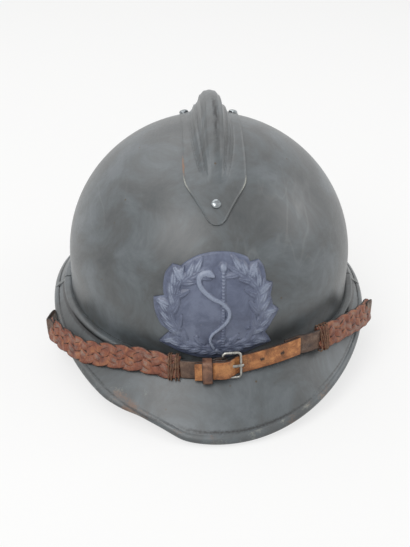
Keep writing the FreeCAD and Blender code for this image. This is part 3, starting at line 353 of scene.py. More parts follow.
@dataclass(frozen=True)
class Finish:
    """A finish and the sizes of its grain.

    Attributes:
        name: plain name of the material.
        colours: sRGB codes from dark to light.
        patch_mm: size of the patches of colour.
        grain_mm: size of the fine grain.
        roughness: lowest and highest roughness.
        bump_mm: height of the fine grain.
        metallic: 1 for bare metal.
        speck: sRGB code of small marks.
        speck_mm: distance between small marks.
        speck_share: share of the marks that show.
        worn_and_highlight: sRGB code where the attribute 'wear' is 1.
        rust: sRGB code where the attribute 'rust' is 1.
        scuff: sRGB code of thin scratches where the attribute 'scuff' is high.
        deep: sRGB code where the attribute 'depth' is 1: mostly painted shade in grooves, seams,
            holes and under folds, and also real dark marks such as pits and cut edges.
        grain_roughness: how broken up the grain is.
        specular: strength of the surface reflection.
        coat: strength of a clear coat.
        sheen: strength of a fabric's sheen.
    """

    name: str
    colours: tuple[str, ...]
    patch_mm: float
    grain_mm: float
    roughness: tuple[float, float]
    bump_mm: float
    metallic: float = 0.0
    speck: str = ""
    speck_mm: float = 9.0
    speck_share: float = 0.06
    worn_and_highlight: str = ""
    rust: str = ""
    scuff: str = ""
    deep: str = ""
    grain_roughness: float = 0.6
    specular: float = 0.5
    coat: float = 0.0
    sheen: float = 0.0

    def build(self) -> bpy.types.Material:
        """Make the node tree of the finish.

        Returns:
            The new material.
        """
        material = bpy.data.materials.new(self.name)
        material.use_nodes = True
        tree = material.node_tree
        tree.nodes.clear()
        place = add_node(tree, "ShaderNodeTexCoord").outputs["Object"]
        patch = add_node(tree, "ShaderNodeTexNoise", None, {
            "Vector": place, "Scale": 1000 / self.patch_mm, "Detail": 8.0,
            "Roughness": 0.68, "Distortion": 0.5})
        ramp = add_node(tree, "ShaderNodeValToRGB", None, {"Fac": patch.outputs["Fac"]})
        stops = ramp.color_ramp.elements
        while len(stops) < len(self.colours):
            stops.new(0.5)
        for i, code in enumerate(self.colours):
            stops[i].position = mixed(*RAMP_ENDS, i / (len(self.colours) - 1))
            stops[i].color = linear(code)
        colour = ramp.outputs["Color"]
        grain = add_node(tree, "ShaderNodeTexNoise", None, {
            "Vector": place, "Scale": 1000 / self.grain_mm, "Detail": 6.0,
            "Roughness": self.grain_roughness})
        if self.speck:
            colour = self.specks(tree, place, colour)
        if self.scuff:
            colour = self.scratches(tree, place, colour)
        for layer, code in (("wear_and_highlight", self.worn_and_highlight), ("rust", self.rust), ("depth", self.deep)):
            if code:
                colour = self.layer_colour(tree, layer, code, grain.outputs["Fac"], colour)
        rough = add_node(tree, "ShaderNodeMapRange", None, {
            "Value": grain.outputs["Fac"], "From Min": 0.3, "From Max": 0.7,
            "To Min": self.roughness[0], "To Max": self.roughness[1]})
        bump = add_node(tree, "ShaderNodeBump", None, {
            "Strength": 0.6, "Distance": self.bump_mm * MM, "Height": grain.outputs["Fac"]})
        shader = add_node(tree, "ShaderNodeBsdfPrincipled", None, {
            "Base Color": colour, "Roughness": rough.outputs[0], "Normal": bump.outputs[0],
            "Metallic": self.metallic, "Specular IOR Level": self.specular,
            "Coat Weight": self.coat, "Coat Roughness": 0.4, "Sheen Weight": self.sheen})
        add_node(tree, "ShaderNodeOutputMaterial", None, {"Surface": shader.outputs[0]})
        return material

    def specks(self, tree: bpy.types.NodeTree, place: bpy.types.NodeSocket,
               colour: bpy.types.NodeSocket) -> bpy.types.NodeSocket:
        """Scatter small marks, such as chips in paint, over a colour.

        Args:
            tree: node tree of the material.
            place: coordinates.
            colour: colour below the marks.

        Returns:
            The colour with its marks.
        """
        cells = add_node(tree, "ShaderNodeTexVoronoi", None,
                         {"Vector": place, "Scale": 1000 / self.speck_mm})
        near = add_node(tree, "ShaderNodeMapRange", None, {
            "Value": cells.outputs["Distance"], "From Min": 0.05, "From Max": 0.12,
            "To Min": 1.0, "To Max": 0.0})
        tint = add_node(tree, "ShaderNodeSeparateColor", None,
                        {"Color": cells.outputs["Color"]})
        chosen = add_node(tree, "ShaderNodeMath", {"operation": "LESS_THAN"},
                          {0: tint.outputs[0], 1: self.speck_share})
        both = add_node(tree, "ShaderNodeMath", {"operation": "MULTIPLY"},
                        {0: near.outputs[0], 1: chosen.outputs[0]})
        return add_node(tree, "ShaderNodeMix", {"data_type": "RGBA"}, {
            0: both.outputs[0], 6: colour, 7: linear(self.speck)}).outputs[2]

    def scratches(self, tree: bpy.types.NodeTree, place: bpy.types.NodeSocket,
                  colour: bpy.types.NodeSocket) -> bpy.types.NodeSocket:
        """Draw thin pale lines where the attribute 'scuff' is high.

        Args:
            tree: node tree of the material.
            place: coordinates.
            colour: colour below the lines.

        Returns:
            The colour with its scratches.
        """
        for turn, size_mm in (((0.4, 0.2, 0.9), 16.0), ((1.1, 0.5, -0.6), 11.0)):
            drawn = add_node(tree, "ShaderNodeMapping", None, {
                "Vector": place, "Rotation": turn, "Scale": (1.0, 0.03, 0.5)})
            lines = add_node(tree, "ShaderNodeTexNoise", None, {
                "Vector": drawn.outputs[0], "Scale": 1000 / size_mm, "Detail": 1.0})
            off = add_node(tree, "ShaderNodeMath", {"operation": "SUBTRACT"},
                           {0: lines.outputs["Fac"], 1: 0.6})
            near = add_node(tree, "ShaderNodeMath", {"operation": "ABSOLUTE"},
                            {0: off.outputs[0]})
            thin = add_node(tree, "ShaderNodeMapRange", None, {
                "Value": near.outputs[0], "From Min": 0.0, "From Max": 0.03,
                "To Min": 0.13, "To Max": 0.0})
            amount = add_node(tree, "ShaderNodeAttribute", {"attribute_name": "scuff"})
            both = add_node(tree, "ShaderNodeMath", {"operation": "MULTIPLY"},
                            {0: thin.outputs[0], 1: amount.outputs["Fac"]})
            colour = add_node(tree, "ShaderNodeMix", {"data_type": "RGBA"}, {
                0: both.outputs[0], 6: colour, 7: linear(self.scuff)}).outputs[2]
        return colour

    def layer_colour(self, tree: bpy.types.NodeTree, layer: str, code: str,
                     grain: bpy.types.NodeSocket,
                     colour: bpy.types.NodeSocket) -> bpy.types.NodeSocket:
        """Lay a colour where a piece's attribute is high, broken up by the grain.

        Args:
            tree: node tree of the material.
            layer: name of the attribute.
            code: sRGB code of the colour.
            grain: noise that breaks up the edge.
            colour: colour below.

        Returns:
            The colour with the layer on it.
        """
        amount = add_node(tree, "ShaderNodeAttribute", {"attribute_name": layer})
        broken = add_node(tree, "ShaderNodeMath", {"operation": "ADD"},
                          {0: amount.outputs["Fac"], 1: grain})
        sharp = add_node(tree, "ShaderNodeMapRange", None, {
            "Value": broken.outputs[0], "From Min": 0.72, "From Max": 1.25})
        return add_node(tree, "ShaderNodeMix", {"data_type": "RGBA"}, {
            0: sharp.outputs[0], 6: colour, 7: linear(code)}).outputs[2]


# Oil paint on steel: satin, pale at grazing angles, with soft smudges and a few chips; its
# 'deep' colour is painted shade at the bowl's foot, in grooves, slits and flutes, and real pits
# on the comb
SLATE = Finish("slate_oil_paint", ("404446", "4b4e4f", "545a5d", "60666a"), 38, 1.3,
               (0.34, 0.46), 0.05, speck="4a3c28", speck_mm=8, speck_share=0.1, worn_and_highlight="96978f",
               rust="7d5a41", scuff="a4a6a6", deep="17191b", specular=0.55, coat=0.3)
# The same paint where it is stamped and rubbed: bluer, with paler high spots that are partly
# rubbed paint and partly painted highlight, and painted shade round the foot of the relief
PLATE = Finish("blue_grey_paint", ("4a5167", "596178", "6c748a"), 16, 0.9, (0.3, 0.44), 0.06,
               speck="8a8d99", speck_mm=5, speck_share=0.08, worn_and_highlight="8b94a8", deep="2b3042",
               coat=0.2)
# Painted steel rivets with a bare, polished top
RIVET = Finish("rubbed_rivet_steel", ("6f7478", "a3a8aa"), 6, 0.8, (0.13, 0.24), 0.02,
               metallic=0.85)
# Drawn steel wire, bright with light tarnish
WIRE = Finish("drawn_steel_wire", ("7d7c78", "b3b1aa"), 5, 0.6, (0.22, 0.38), 0.01,
              metallic=1.0)
# Folded sheet steel, duller than wire
SHEET_STEEL = Finish("plain_steel_sheet", ("6a6c6c", "8e9090"), 9, 0.8, (0.35, 0.5), 0.02,
                     metallic=1.0)
# Rolled aluminium, soft grey with oxide
ALUMINIUM = Finish("rolled_aluminium", ("a3a5a7", "c6c8ca"), 12, 0.9, (0.32, 0.48), 0.02,
                   metallic=1.0)
# Vegetable-tanned plait, red brown with greyed high spots, and painted shade in the seams
# between its thongs
PLAIT = Finish("red_brown_plait_leather", ("5c3022", "824b36", "a06a49"), 6, 0.7,
               (0.4, 0.6), 0.14, speck="3a241b", speck_mm=3, speck_share=0.14,
               worn_and_highlight="8f857c", deep="150b07")
# Tan strap leather, orange where it was bent, dark at its cut edges, with painted shade where
# its punched holes are
TAN = Finish("tan_strap_leather", ("774a29", "a4683d", "c98c55"), 6, 0.7, (0.4, 0.58), 0.12,
             speck="452715", speck_mm=4, speck_share=0.16, worn_and_highlight="c79059", deep="2a160b")
# The keeper's leather, browner and darkened by handling
BROWN = Finish("brown_keeper_leather", ("4c3226", "6f4c3a", "86614a"), 5, 0.7, (0.4, 0.55), 0.1,
               speck="2e1d16", speck_mm=4, speck_share=0.12, worn_and_highlight="a07c60", deep="21140f")
# The same leather, greyed and darkened with age
DARK = Finish("dark_strap_leather", ("413029", "5d4639", "77604f"), 6, 0.7, (0.45, 0.62), 0.12,
              speck="2e1d16", speck_mm=4, speck_share=0.12, worn_and_highlight="8f8376", deep="1c110c")
# Sheepskin lining, brown-black and slightly shiny from wear
LINING = Finish("lining_sheepskin", ("2f211a", "43302a", "55403a"), 14, 0.9, (0.42, 0.6), 0.1,
                worn_and_highlight="6b564b", deep="1c120d")
# Fulled wool, matt
WOOL = Finish("dark_wool_cloth", ("23262f", "323745", "424858"), 3, 0.5, (0.85, 0.95), 0.2,
              sheen=0.3)
# Waxed linen thread, brown and dull
THREAD = Finish("waxed_thread", ("4d3526", "6b4c38", "876a52"), 2, 0.4, (0.6, 0.75), 0.08)
# Twisted cotton lace, pale and matt
LACE = Finish("cotton_lace", ("7a6a52", "a08f72"), 3, 0.5, (0.7, 0.85), 0.12)


# ---------------------------------------------------------------- the steel


@dataclass
class Dome:
    """The bowl's sizes and the points on it; y is counted from the table frame."""

    half_width: float = 99.0
    half_length: float = 109.0
    wall: float = 24.0
    rise: float = 93.0
    base: float = 33.0
    middle_y: float = 4.2
    steel: float = 0.7

    def plan(self, turn: float, grow: float, height: float) -> Vector:
        """Point on the bowl's plan, grown outwards, turned from the front to the left.

        Args:
            turn: direction, from the front to the left.
            grow: distance outwards.
            height: height over the bowl's base.

        Returns:
            The point in the model's frame.
        """
        return Vector(((self.half_width + grow) * math.sin(turn),
                       self.middle_y - (self.half_length + grow) * math.cos(turn),
                       self.base + height))

    def over(self, x: float, y: float, up: float = 0.0) -> Vector:
        """Point above the crown at x and y, an amount square to the surface.

        Args:
            x: place towards the wearer's left.
            y: place towards the rear.
            up: distance out of the surface.

        Returns:
            The point in the model's frame.
        """
        a, b, c = self.half_width, self.half_length, self.rise
        along = y - self.middle_y
        lift = c * math.sqrt(max(1e-4, 1 - (x / a) ** 2 - (along / b) ** 2))
        tilt = Vector((x / a ** 2, along / b ** 2, lift / c ** 2)).normalized()
        return Vector((x, y, self.base + self.wall + lift + up / max(0.3, tilt.z)))

    def front(self, x: float, z: float, grow: float) -> Vector:
        """Point in front of the bowl at x and z, grown outwards.

        Args:
            x: place towards the wearer's left.
            z: height.
            grow: distance out of the surface.

        Returns:
            The point in the model's frame.
        """
        up = max(0.0, z - self.base - self.wall)
        inside = 1 - (x / (self.half_width + grow)) ** 2 - (up / (self.rise + grow)) ** 2
        reach = (self.half_length + grow) * math.sqrt(max(0.0, inside))
        return Vector((x, self.middle_y - reach, z))


@dataclass
class Bowl:
    """The pressed bowl with its small turned-out flange."""

    dome: Dome
    flange: float = 3.7
    fillet: float = 2.4
    cap_share: float = 0.74
    wall_share: float = 0.92
    fillet_share: float = 0.8
    faces: tuple[int, int] = (200, 120)
    sheet_mm: tuple[float, float] = (660, 190)
    vent_half: tuple[float, float] = (6.0, 35.0)
    vent_foot: float = 120.0
    # Below this height the bowl's foot gets painted shade, where it meets the brim.
    shade_top: float = 36.4
    scuffs: tuple[tuple[Point, float], ...] = (
        ((55, -62, 112), 48), ((-70, -30, 105), 30), ((20, -95, 95), 26))

    def place(self, u: float, v: float) -> Vector:
        """Point of the outer surface: u goes round and v from the crown to the flange.

        Args:
            u: share of the way round.
            v: share of the way down.

        Returns:
            The point in the model's frame.
        """
        turn = math.tau * u
        if v <= self.cap_share:
            lean = math.pi / 2 * v / self.cap_share
            return Vector((self.dome.half_width * math.sin(lean) * math.sin(turn),
                           self.dome.middle_y
                           - self.dome.half_length * math.sin(lean) * math.cos(turn),
                           self.dome.base + self.dome.wall + self.dome.rise * math.cos(lean)))
        if v <= self.wall_share:
            share = (v - self.cap_share) / (self.wall_share - self.cap_share)
            low = self.fillet + self.dome.steel
            return self.dome.plan(turn, 0.0, mixed(self.dome.wall, low, share))
        share = (v - self.wall_share) / (1 - self.wall_share)
        if share < self.fillet_share:
            lean = math.pi / 2 * share / self.fillet_share
            return self.dome.plan(turn, self.fillet * (1 - math.cos(lean)),
                                  self.dome.steel + self.fillet * (1 - math.sin(lean)))
        share = (share - self.fillet_share) / (1 - self.fillet_share)
        return self.dome.plan(turn, mixed(self.fillet, self.flange, share), self.dome.steel)

    def keep(self, place: Vector) -> bool:
        """False over the vent under the comb."""
        return (place.z < self.vent_foot or abs(place.x) > self.vent_half[0]
                or abs(place.y - self.dome.middle_y) > self.vent_half[1])

    def build(self, paint: bpy.types.Material) -> None:
        """Make and dress the bowl.

        Args:
            paint: its finish.
        """
        thing = grid_object("bowl_sheet", *self.faces, self.place, self.sheet_mm,
                            self.dome.steel, flip=True, keep=self.keep)
        mark(thing, "scuff", self.scuffed)
        # Painted shade: a dark band low on the bowl, over its fillet and flange.
        mark(thing, "depth", lambda p: smooth((self.shade_top - p.z) / 1.8) * 0.75)
        settle(thing, Piece("bowl_sheet", Body.HELMET, "slate_paint", ("shell",)), paint)

    def scuffed(self, place: Vector) -> float:
        """How scratched the paint is: most at the left of the crown, a little all over."""
        near = max(smooth(1 - (place - Vector(spot)).length / reach)
                   for spot, reach in self.scuffs)
        return 0.12 + 0.85 * near


@dataclass
class Brim:
    """The visor and the neck guard: one sheet each, crimped over the bowl's flange."""

    dome: Dome
    half_width: float = 111.6
    front_reach: float = 153.2
    rear_reach: float = 135.2
    widest_y: float = 9.0
    side_slope: float = 0.87
    front_slope: float = 0.841
    rear_slope: float = 1.11
    start_grow: float = 4.8
    dent_turn: float = math.radians(32)
    dent_depth: float = 3.6
    dent_spot: tuple[float, float] = (-58.0, -122.0)
    dent_reach: float = 30.0
    slope_rows: int = 16
    crimp: tuple[tuple[float, float], ...] = (
        (0.45, 0.85), (0.5, 1.25), (0.8, 1.5), (2.4, 1.55), (3.9, 1.5), (4.5, 1.25), (4.8, 0.75),
        (4.85, 0.0), (4.9, -0.9), (5.3, -1.6))
    hem_shape: tuple[tuple[float, float], ...] = (
        (-2.75, -0.05), (-2.5, 0.0), (-2.35, 0.4), (-1.9, 0.62), (-1.2, 0.66), (-0.5, 0.5),
        (-0.1, 0.1), (0.0, -0.4), (-0.2, -0.9), (-0.7, -1.3), (-1.4, -1.45), (-2.4, -1.3))

    def fall(self, x: float, y: float) -> float:
        """Height of the brim's sheet over the bowl's base at a place.

        Args:
            x: place towards the wearer's left.
            y: place towards the rear.

        Returns:
            The height in millimetres, below 0.
        """
        steep = self.front_slope if y < self.dome.middle_y else self.rear_slope
        low, high = 0.0, 45.0
        for _ in range(30):
            drop = (low + high) / 2
            wide = self.dome.half_width + self.start_grow + drop / self.side_slope
            long = self.dome.half_length + self.start_grow + drop / steep
            outside = (x / wide) ** 2 + ((y - self.dome.middle_y) / long) ** 2 > 1
            low, high = (drop, high) if outside else (low, drop)
        return -1.5 - low

    def edge(self, turn: float) -> Vector:
        """Point on the brim's outer edge, pushed in at the dent.

        Args:
            turn: direction, from the front to the left.

        Returns:
            The point, at height 0.
        """
        reach = self.front_reach if math.cos(turn) > 0 else self.rear_reach
        place = Vector((self.half_width * math.sin(turn),
                        self.widest_y - reach * math.cos(turn), 0))
        normal = Vector((-math.sin(self.dent_turn), -math.cos(self.dent_turn), 0))
        support = math.hypot(self.half_width * normal.x, self.front_reach * normal.y)
        over = (place - Vector((0, self.widest_y, 0))).dot(normal) - support + self.dent_depth
        if math.cos(turn) > 0:
            place -= normal * 0.48 * (over + math.hypot(over, 1.3))
        return place

    def dent(self, place: Vector) -> float:
        """How strongly the dent shows at a place on the visor, from 0 to 1."""
        away = math.dist((place.x, place.y), self.dent_spot)
        return smooth(1 - away / self.dent_reach)

    def build_part(self, piece: Piece, inner: tuple[float, float], outer: tuple[float, float],
                   columns: int, paint: bpy.types.Material) -> None:
        """Make one half of the brim between two directions.

        Args:
            piece: name, body, slot and replaced node.
            inner: first and last direction at the bowl, in degrees from the front.
            outer: first and last direction at the edge.
            columns: faces along the edge.
            paint: its finish.
        """
        rows = len(self.crimp) + self.slope_rows + len(self.hem_shape) - 1
        cache: dict[int, list[Vector]] = {}

        def column(step: int) -> list[Vector]:
            """Points from the bowl to the hem, at one step along the edge."""
            share = step / columns
            turn = math.radians(mixed(*inner, share))
            edge = self.edge(math.radians(mixed(*outer, share)))
            points = [self.dome.plan(turn, grow, up) for grow, up in self.crimp]
            start = points[-1]
            edge.z = self.dome.base + self.fall(edge.x, edge.y)
            dent = self.dent(edge)
            flat = (edge - start) * Vector((1, 1, 0))
            steep = (edge.z - start.z) / flat.length
            inward = flat.normalized()
            for i in range(1, self.slope_rows + 1):
                along = i / (self.slope_rows + 1) * (flat.length + self.hem_shape[0][0])
                wave = 0.35 * math.sin(math.pi * along / flat.length)
                wave += dent * 1.6 * smooth(along / flat.length * 1.6 - 0.6)
                points.append(start + inward * along + Vector((0, 0, steep * along - wave)))
            for across, up in self.hem_shape:
                curl = -1.2 * dent + dent * 0.35 * math.sin(share * 95)
                points.append(edge + inward * (across - 0.4 * dent * abs(up))
                              + Vector((0, 0, steep * across + up * (1 - 0.25 * dent) + curl)))
            return points

        def place(u: float, v: float) -> Vector:
            """Point of the sheet."""
            step = round(u * columns)
            if step not in cache:
                cache[step] = column(step)
            return cache[step][round(v * rows)]

        thing = grid_object(piece.name, columns, rows, place, (380, 45), self.dome.steel)
        mark(thing, "wear_and_highlight", self.rubbed)
        mark(thing, "rust", self.rusted)
        # Painted shade in the hem's groove and under the crimped fold.
        mark(thing, "depth", self.shaded)
        settle(thing, piece, paint)

    def rubbed(self, place: Vector) -> float:
        """Bare spots at the dent and along the hem.

        Args:
            place: a place on the brim.

        Returns:
            Wear from 0 to 1.
        """
        spots = noise.noise(place * 0.21)
        at_dent = self.dent(place) * (0.2 + 0.7 * noise.noise(place * 0.16 + Vector((3, 7, 1))))
        return max(0.0, at_dent, self.hem_share(place) * (0.08 + 0.4 * max(0.0, spots)))

    def rusted(self, place: Vector) -> float:
        """Rust round the dent and in a few places of the hem.

        Args:
            place: a place on the brim.

        Returns:
            Rust from 0 to 1.
        """
        spots = noise.noise(place * 0.12 + Vector((5, 2, 8)))
        outer = smooth((self.out_share(place) - 0.925) / 0.04)
        at_dent = self.dent(place) * (0.4 + 0.8 * spots) * outer
        return max(0.0, at_dent, self.hem_share(place) * 0.55 * max(0.0, spots))

    def out_share(self, place: Vector) -> float:
        """How far out a place is, 1 at the brim's outer edge."""
        reach = self.front_reach if place.y < self.widest_y else self.rear_reach
        return math.hypot(place.x / self.half_width, (place.y - self.widest_y) / reach)

    def hem_share(self, place: Vector) -> float:
        """1 on the folded hem and 0 on the sheet."""
        return smooth((self.out_share(place) - 0.972) / 0.012)

    def shaded(self, place: Vector) -> float:
        """Painted shade in the groove beside the hem and under the crimped fold.

        Args:
            place: a place on the brim.

        Returns:
            Painted shade from 0 to 1.
        """
        groove = smooth(1 - abs(self.out_share(place) - 0.974) / 0.008)
        fold = smooth((place.z - self.dome.base + 3.2) / 1.5) * smooth(
            (self.dome.base + 0.6 - place.z) / 0.8)
        return max(groove * 0.75, fold * 0.8)

    def build(self, paint: bpy.types.Material) -> None:
        """Make both halves and the tongues of the side joints.

        Args:
            paint: its finish.
        """
        self.build_part(Piece("visor_sheet", Body.HELMET, "slate_paint", ("visor",)),
                        (-87.5, 87.5), (-86.33, 86.33), 220, paint)
        self.build_part(Piece("guard_sheet", Body.HELMET, "slate_paint", ("neck_guard",)),
                        (88.1, 271.9), (86.75, 273.25), 200, paint)
        for name, sign in (("side_tongue_left", 1), ("side_tongue_right", -1)):
            self.side_tongue(name, sign, paint)

    def side_tongue(self, name: str, sign: int, paint: bpy.types.Material) -> None:
        """A tongue of the visor's sheet that grips the neck guard at a side joint.

        Args:
            name: name of the piece.
            sign: 1 on the wearer's left and -1 on the right.
            paint: its finish.
        """
        ahead, behind, slit, crack = -3.7, 1.9, 1.3, 0.5

        def place(u: float, v: float) -> Vector:
            """Point of the tongue."""
            y = mixed(ahead, behind, u)
            turn = math.acos(min(1.0, max(-1.0, (self.dome.middle_y - y)
                                          / (self.dome.half_length + self.start_grow))))
            inner = self.dome.plan(turn, self.start_grow + 0.4, 0)
            outer_turn = math.acos(min(1.0, (self.widest_y - y) / self.front_reach))
            x = mixed(inner.x - 0.2, self.half_width * math.sin(outer_turn) - 0.6, v)
            rim = min(1.0, max(0.0, 2 * (y - ahead - slit)), max(0.0, 2 * (behind - crack - y)),
                      10 * min(v, 1 - v))
            up = mixed(0.3, 0.85, smooth((v - 0.45) / 0.2)) + 0.8 * math.sqrt(rim)
            return Vector((sign * x, y, self.dome.base + self.fall(x, y) + up))

        thing = grid_object(name, 40, 16, place, (6, 6), 0.4, flip=sign < 0)
        mark(thing, "wear_and_highlight", lambda p: 0.3)
        # Painted shade at both ends of the tongue, in the slits of the side joint.
        mark(thing, "depth", lambda p: 1.0 if p.y < ahead + slit or p.y > behind - crack
             else 0.0)
        settle(thing, Piece(name, Body.HELMET, "slate_paint"), paint)


@dataclass
class Comb:
    """The hollow comb over the crown: flange, flutes and ridge."""

    dome: Dome
    half_width: float = 20.3
    front_shoulder: float = 60.0
    front_tip: float = 84.0
    rear_shoulder: float = 66.0
    rear_tip: float = 90.0
    tip_radius: float = 8.0
    ridge_height: float = 16.2
    ridge_foot: float = 14.8
    ridge_front: float = 68.0
    ridge_rear: float = 80.0
    skin: float = 1.0
    steel: float = 0.8
    faces: tuple[int, int] = (110, 240)
    sheet_mm: tuple[float, float] = (41, 200)
    flutes: tuple[tuple[float, float, float], ...] = ((0.63, 0.06, 0.9), (0.93, 0.05, 0.7))
    section: tuple[tuple[float, float], ...] = (
        (0.0, 1.0), (0.24, 0.96), (0.46, 0.78), (0.58, 0.47), (0.72, 0.34), (0.86, 0.08),
        (1.0, 0.0))

    def width_at(self, along: float) -> float:
        """Half width of the flange at a place along the comb, counted from the middle.

        Args:
            along: place along the comb, from its middle.

        Returns:
            The half width in millimetres.
        """
        shoulder, tip = ((self.front_shoulder, self.front_tip) if along < 0
                         else (self.rear_shoulder, self.rear_tip))
        reach = abs(along)
        centre = tip - self.tip_radius
        distance = math.hypot(self.half_width, centre - shoulder)
        lean = math.pi - (math.atan2(self.half_width, centre - shoulder)
                          + math.acos(self.tip_radius / distance))
        touch = (self.tip_radius * math.sin(lean), centre + self.tip_radius * math.cos(lean))
        if reach < touch[1]:
            share = (reach - shoulder) / (touch[1] - shoulder)
            return soft_least(self.half_width, mixed(self.half_width, touch[0], share), 3.0)
        return math.sqrt(max(0.0, self.tip_radius ** 2 - (reach - centre) ** 2))

    def ridge(self, along: float) -> tuple[float, float]:
        """Height and half width of the ridge at a place along the comb.

        Args:
            along: place along the comb, from its middle.

        Returns:
            Height and half width in millimetres.
        """
        share = (along + self.ridge_front) / (self.ridge_front + self.ridge_rear)
        if not 0 < share < 1:
            return 0.0, 0.3 * self.ridge_foot
        height = 1 - abs(2 * share ** 1.15 - 1) ** 2.3
        height *= smooth(min(share, 1 - share) / 0.16)
        return (self.ridge_height * height,
                self.ridge_foot * (0.3 + 0.7 * (1 - abs(2 * share - 1) ** 3)))

    def rise(self, across: float) -> float:
        """Share of the ridge's height at a share of its half width.

        Args:
            across: share of the ridge's half width.

        Returns:
            Share of its height.
        """
        for (near, high), (far, low) in zip(self.section, self.section[1:]):
            if across <= far:
                return mixed(high, low, smooth((across - near) / (far - near)))
        return 0.0

    def place(self, u: float, v: float) -> Vector:
        """Point of the comb's outer face: u goes across and v from front to rear.

        Args:
            u: share of the way across.
            v: share of the way to the rear.

        Returns:
            The point in the model's frame.
        """
        share = 0.5 - 0.5 * math.cos(math.pi * v)
        share = mixed(v, share, 0.55)
        along = mixed(-self.front_tip, self.rear_tip, share)
        side = 2 * u - 1
        side = mixed(side, math.sin(side * math.pi / 2), 0.35)
        half = self.width_at(along)
        x = half * side
        height, foot = self.ridge(along)
        up = self.skin
        lift = height * self.rise(abs(x) / foot)
        edge = smooth((abs(side) * half - half + 1.5) / 1.2) if half > 4 else 0.0
        up += 0.3 * edge
        lift += 0.25 * noise.noise(Vector((x * 0.08, along * 0.05, 2.0)))
        lift -= self.flute(x, along)
        point = self.dome.over(x, self.dome.middle_y + along, up)
        return point + Vector((0, 0, lift * (1 if height > 0.3 else 0.3)))

    def flute(self, x: float, along: float) -> float:
        """Depth of the pressed lines beside the ridge.

        Args:
            x: place towards the wearer's left.
            along: place along the comb, from its middle.

        Returns:
            The depth in millimetres.
        """
        height, foot = self.ridge(along)
        across = abs(x) / foot
        deep = sum(depth * math.exp(-((across - middle) / spread) ** 2)
                   for middle, spread, depth in self.flutes)
        return deep * smooth(height / 5)

    def build(self, paint: bpy.types.Material) -> None:
        """Make and dress the comb.

        Args:
            paint: its finish.
        """
        thing = grid_object("comb_sheet", *self.faces, self.place, self.sheet_mm, self.steel)
        mark(thing, "wear_and_highlight", self.rubbed)
        mark(thing, "rust", self.rusted)
        # Dark pits along the ridge, and painted shade in the flutes.
        mark(thing, "depth", self.pits_and_flute_shade)
        settle(thing, Piece("comb_sheet", Body.HELMET, "slate_paint", ("crest",)), paint)

    def rubbed(self, place: Vector) -> float:
        """Paint rubbed off at the shoulders and in spots along the edge.

        Args:
            place: a place on the comb.

        Returns:
            Wear from 0 to 1.
        """
        along = place.y - self.dome.middle_y
        edge = smooth((abs(place.x) - self.width_at(along) + 1.3) / 1.0)
        spots = 0.5 + 0.5 * noise.noise(place * 0.17)
        shoulder = smooth(1 - abs(along + self.front_shoulder) / 9)
        return edge * (0.04 + 0.2 * spots + 0.7 * shoulder)

    def rusted(self, place: Vector) -> float:
        """A rust stain on the flange's edge, on the wearer's right.

        Args:
            place: a place on the comb.

        Returns:
            Rust from 0 to 1.
        """
        along = place.y - self.dome.middle_y
        edge = smooth((abs(place.x) - self.width_at(along) + 2.4) / 2.0)
        return edge * smooth(1 - abs(along + 47) / 14) * (0.75 if place.x < 0 else 0.1)

    def pits_and_flute_shade(self, place: Vector) -> float:
        """A dark pitted streak along the ridge, and painted shade in the flutes.

        Args:
            place: a place on the comb.

        Returns:
            Darkness of the pits and of the painted shade, from 0 to 1.
        """
        along = place.y - self.dome.middle_y
        streak = smooth(1 - abs(place.x - 1.6) / 3.2) * smooth(1 - abs(along + 16) / 46)
        broken = 0.75 + 0.9 * noise.noise(Vector((place.x * 0.6, along * 0.16, 5.0)))
        # The flute term is painted shade.
        return max(0.0, min(1.0, max(streak * broken, 0.5 * self.flute(place.x, along))))


# ---------------------------------------------------------------- the front plate


@dataclass
class Leaf:
    """A leaf of the wreath: place, direction, length, width and height."""

    x: float
    z: float
    turn: float
    length: float
    width: float
    height: float = 1.3


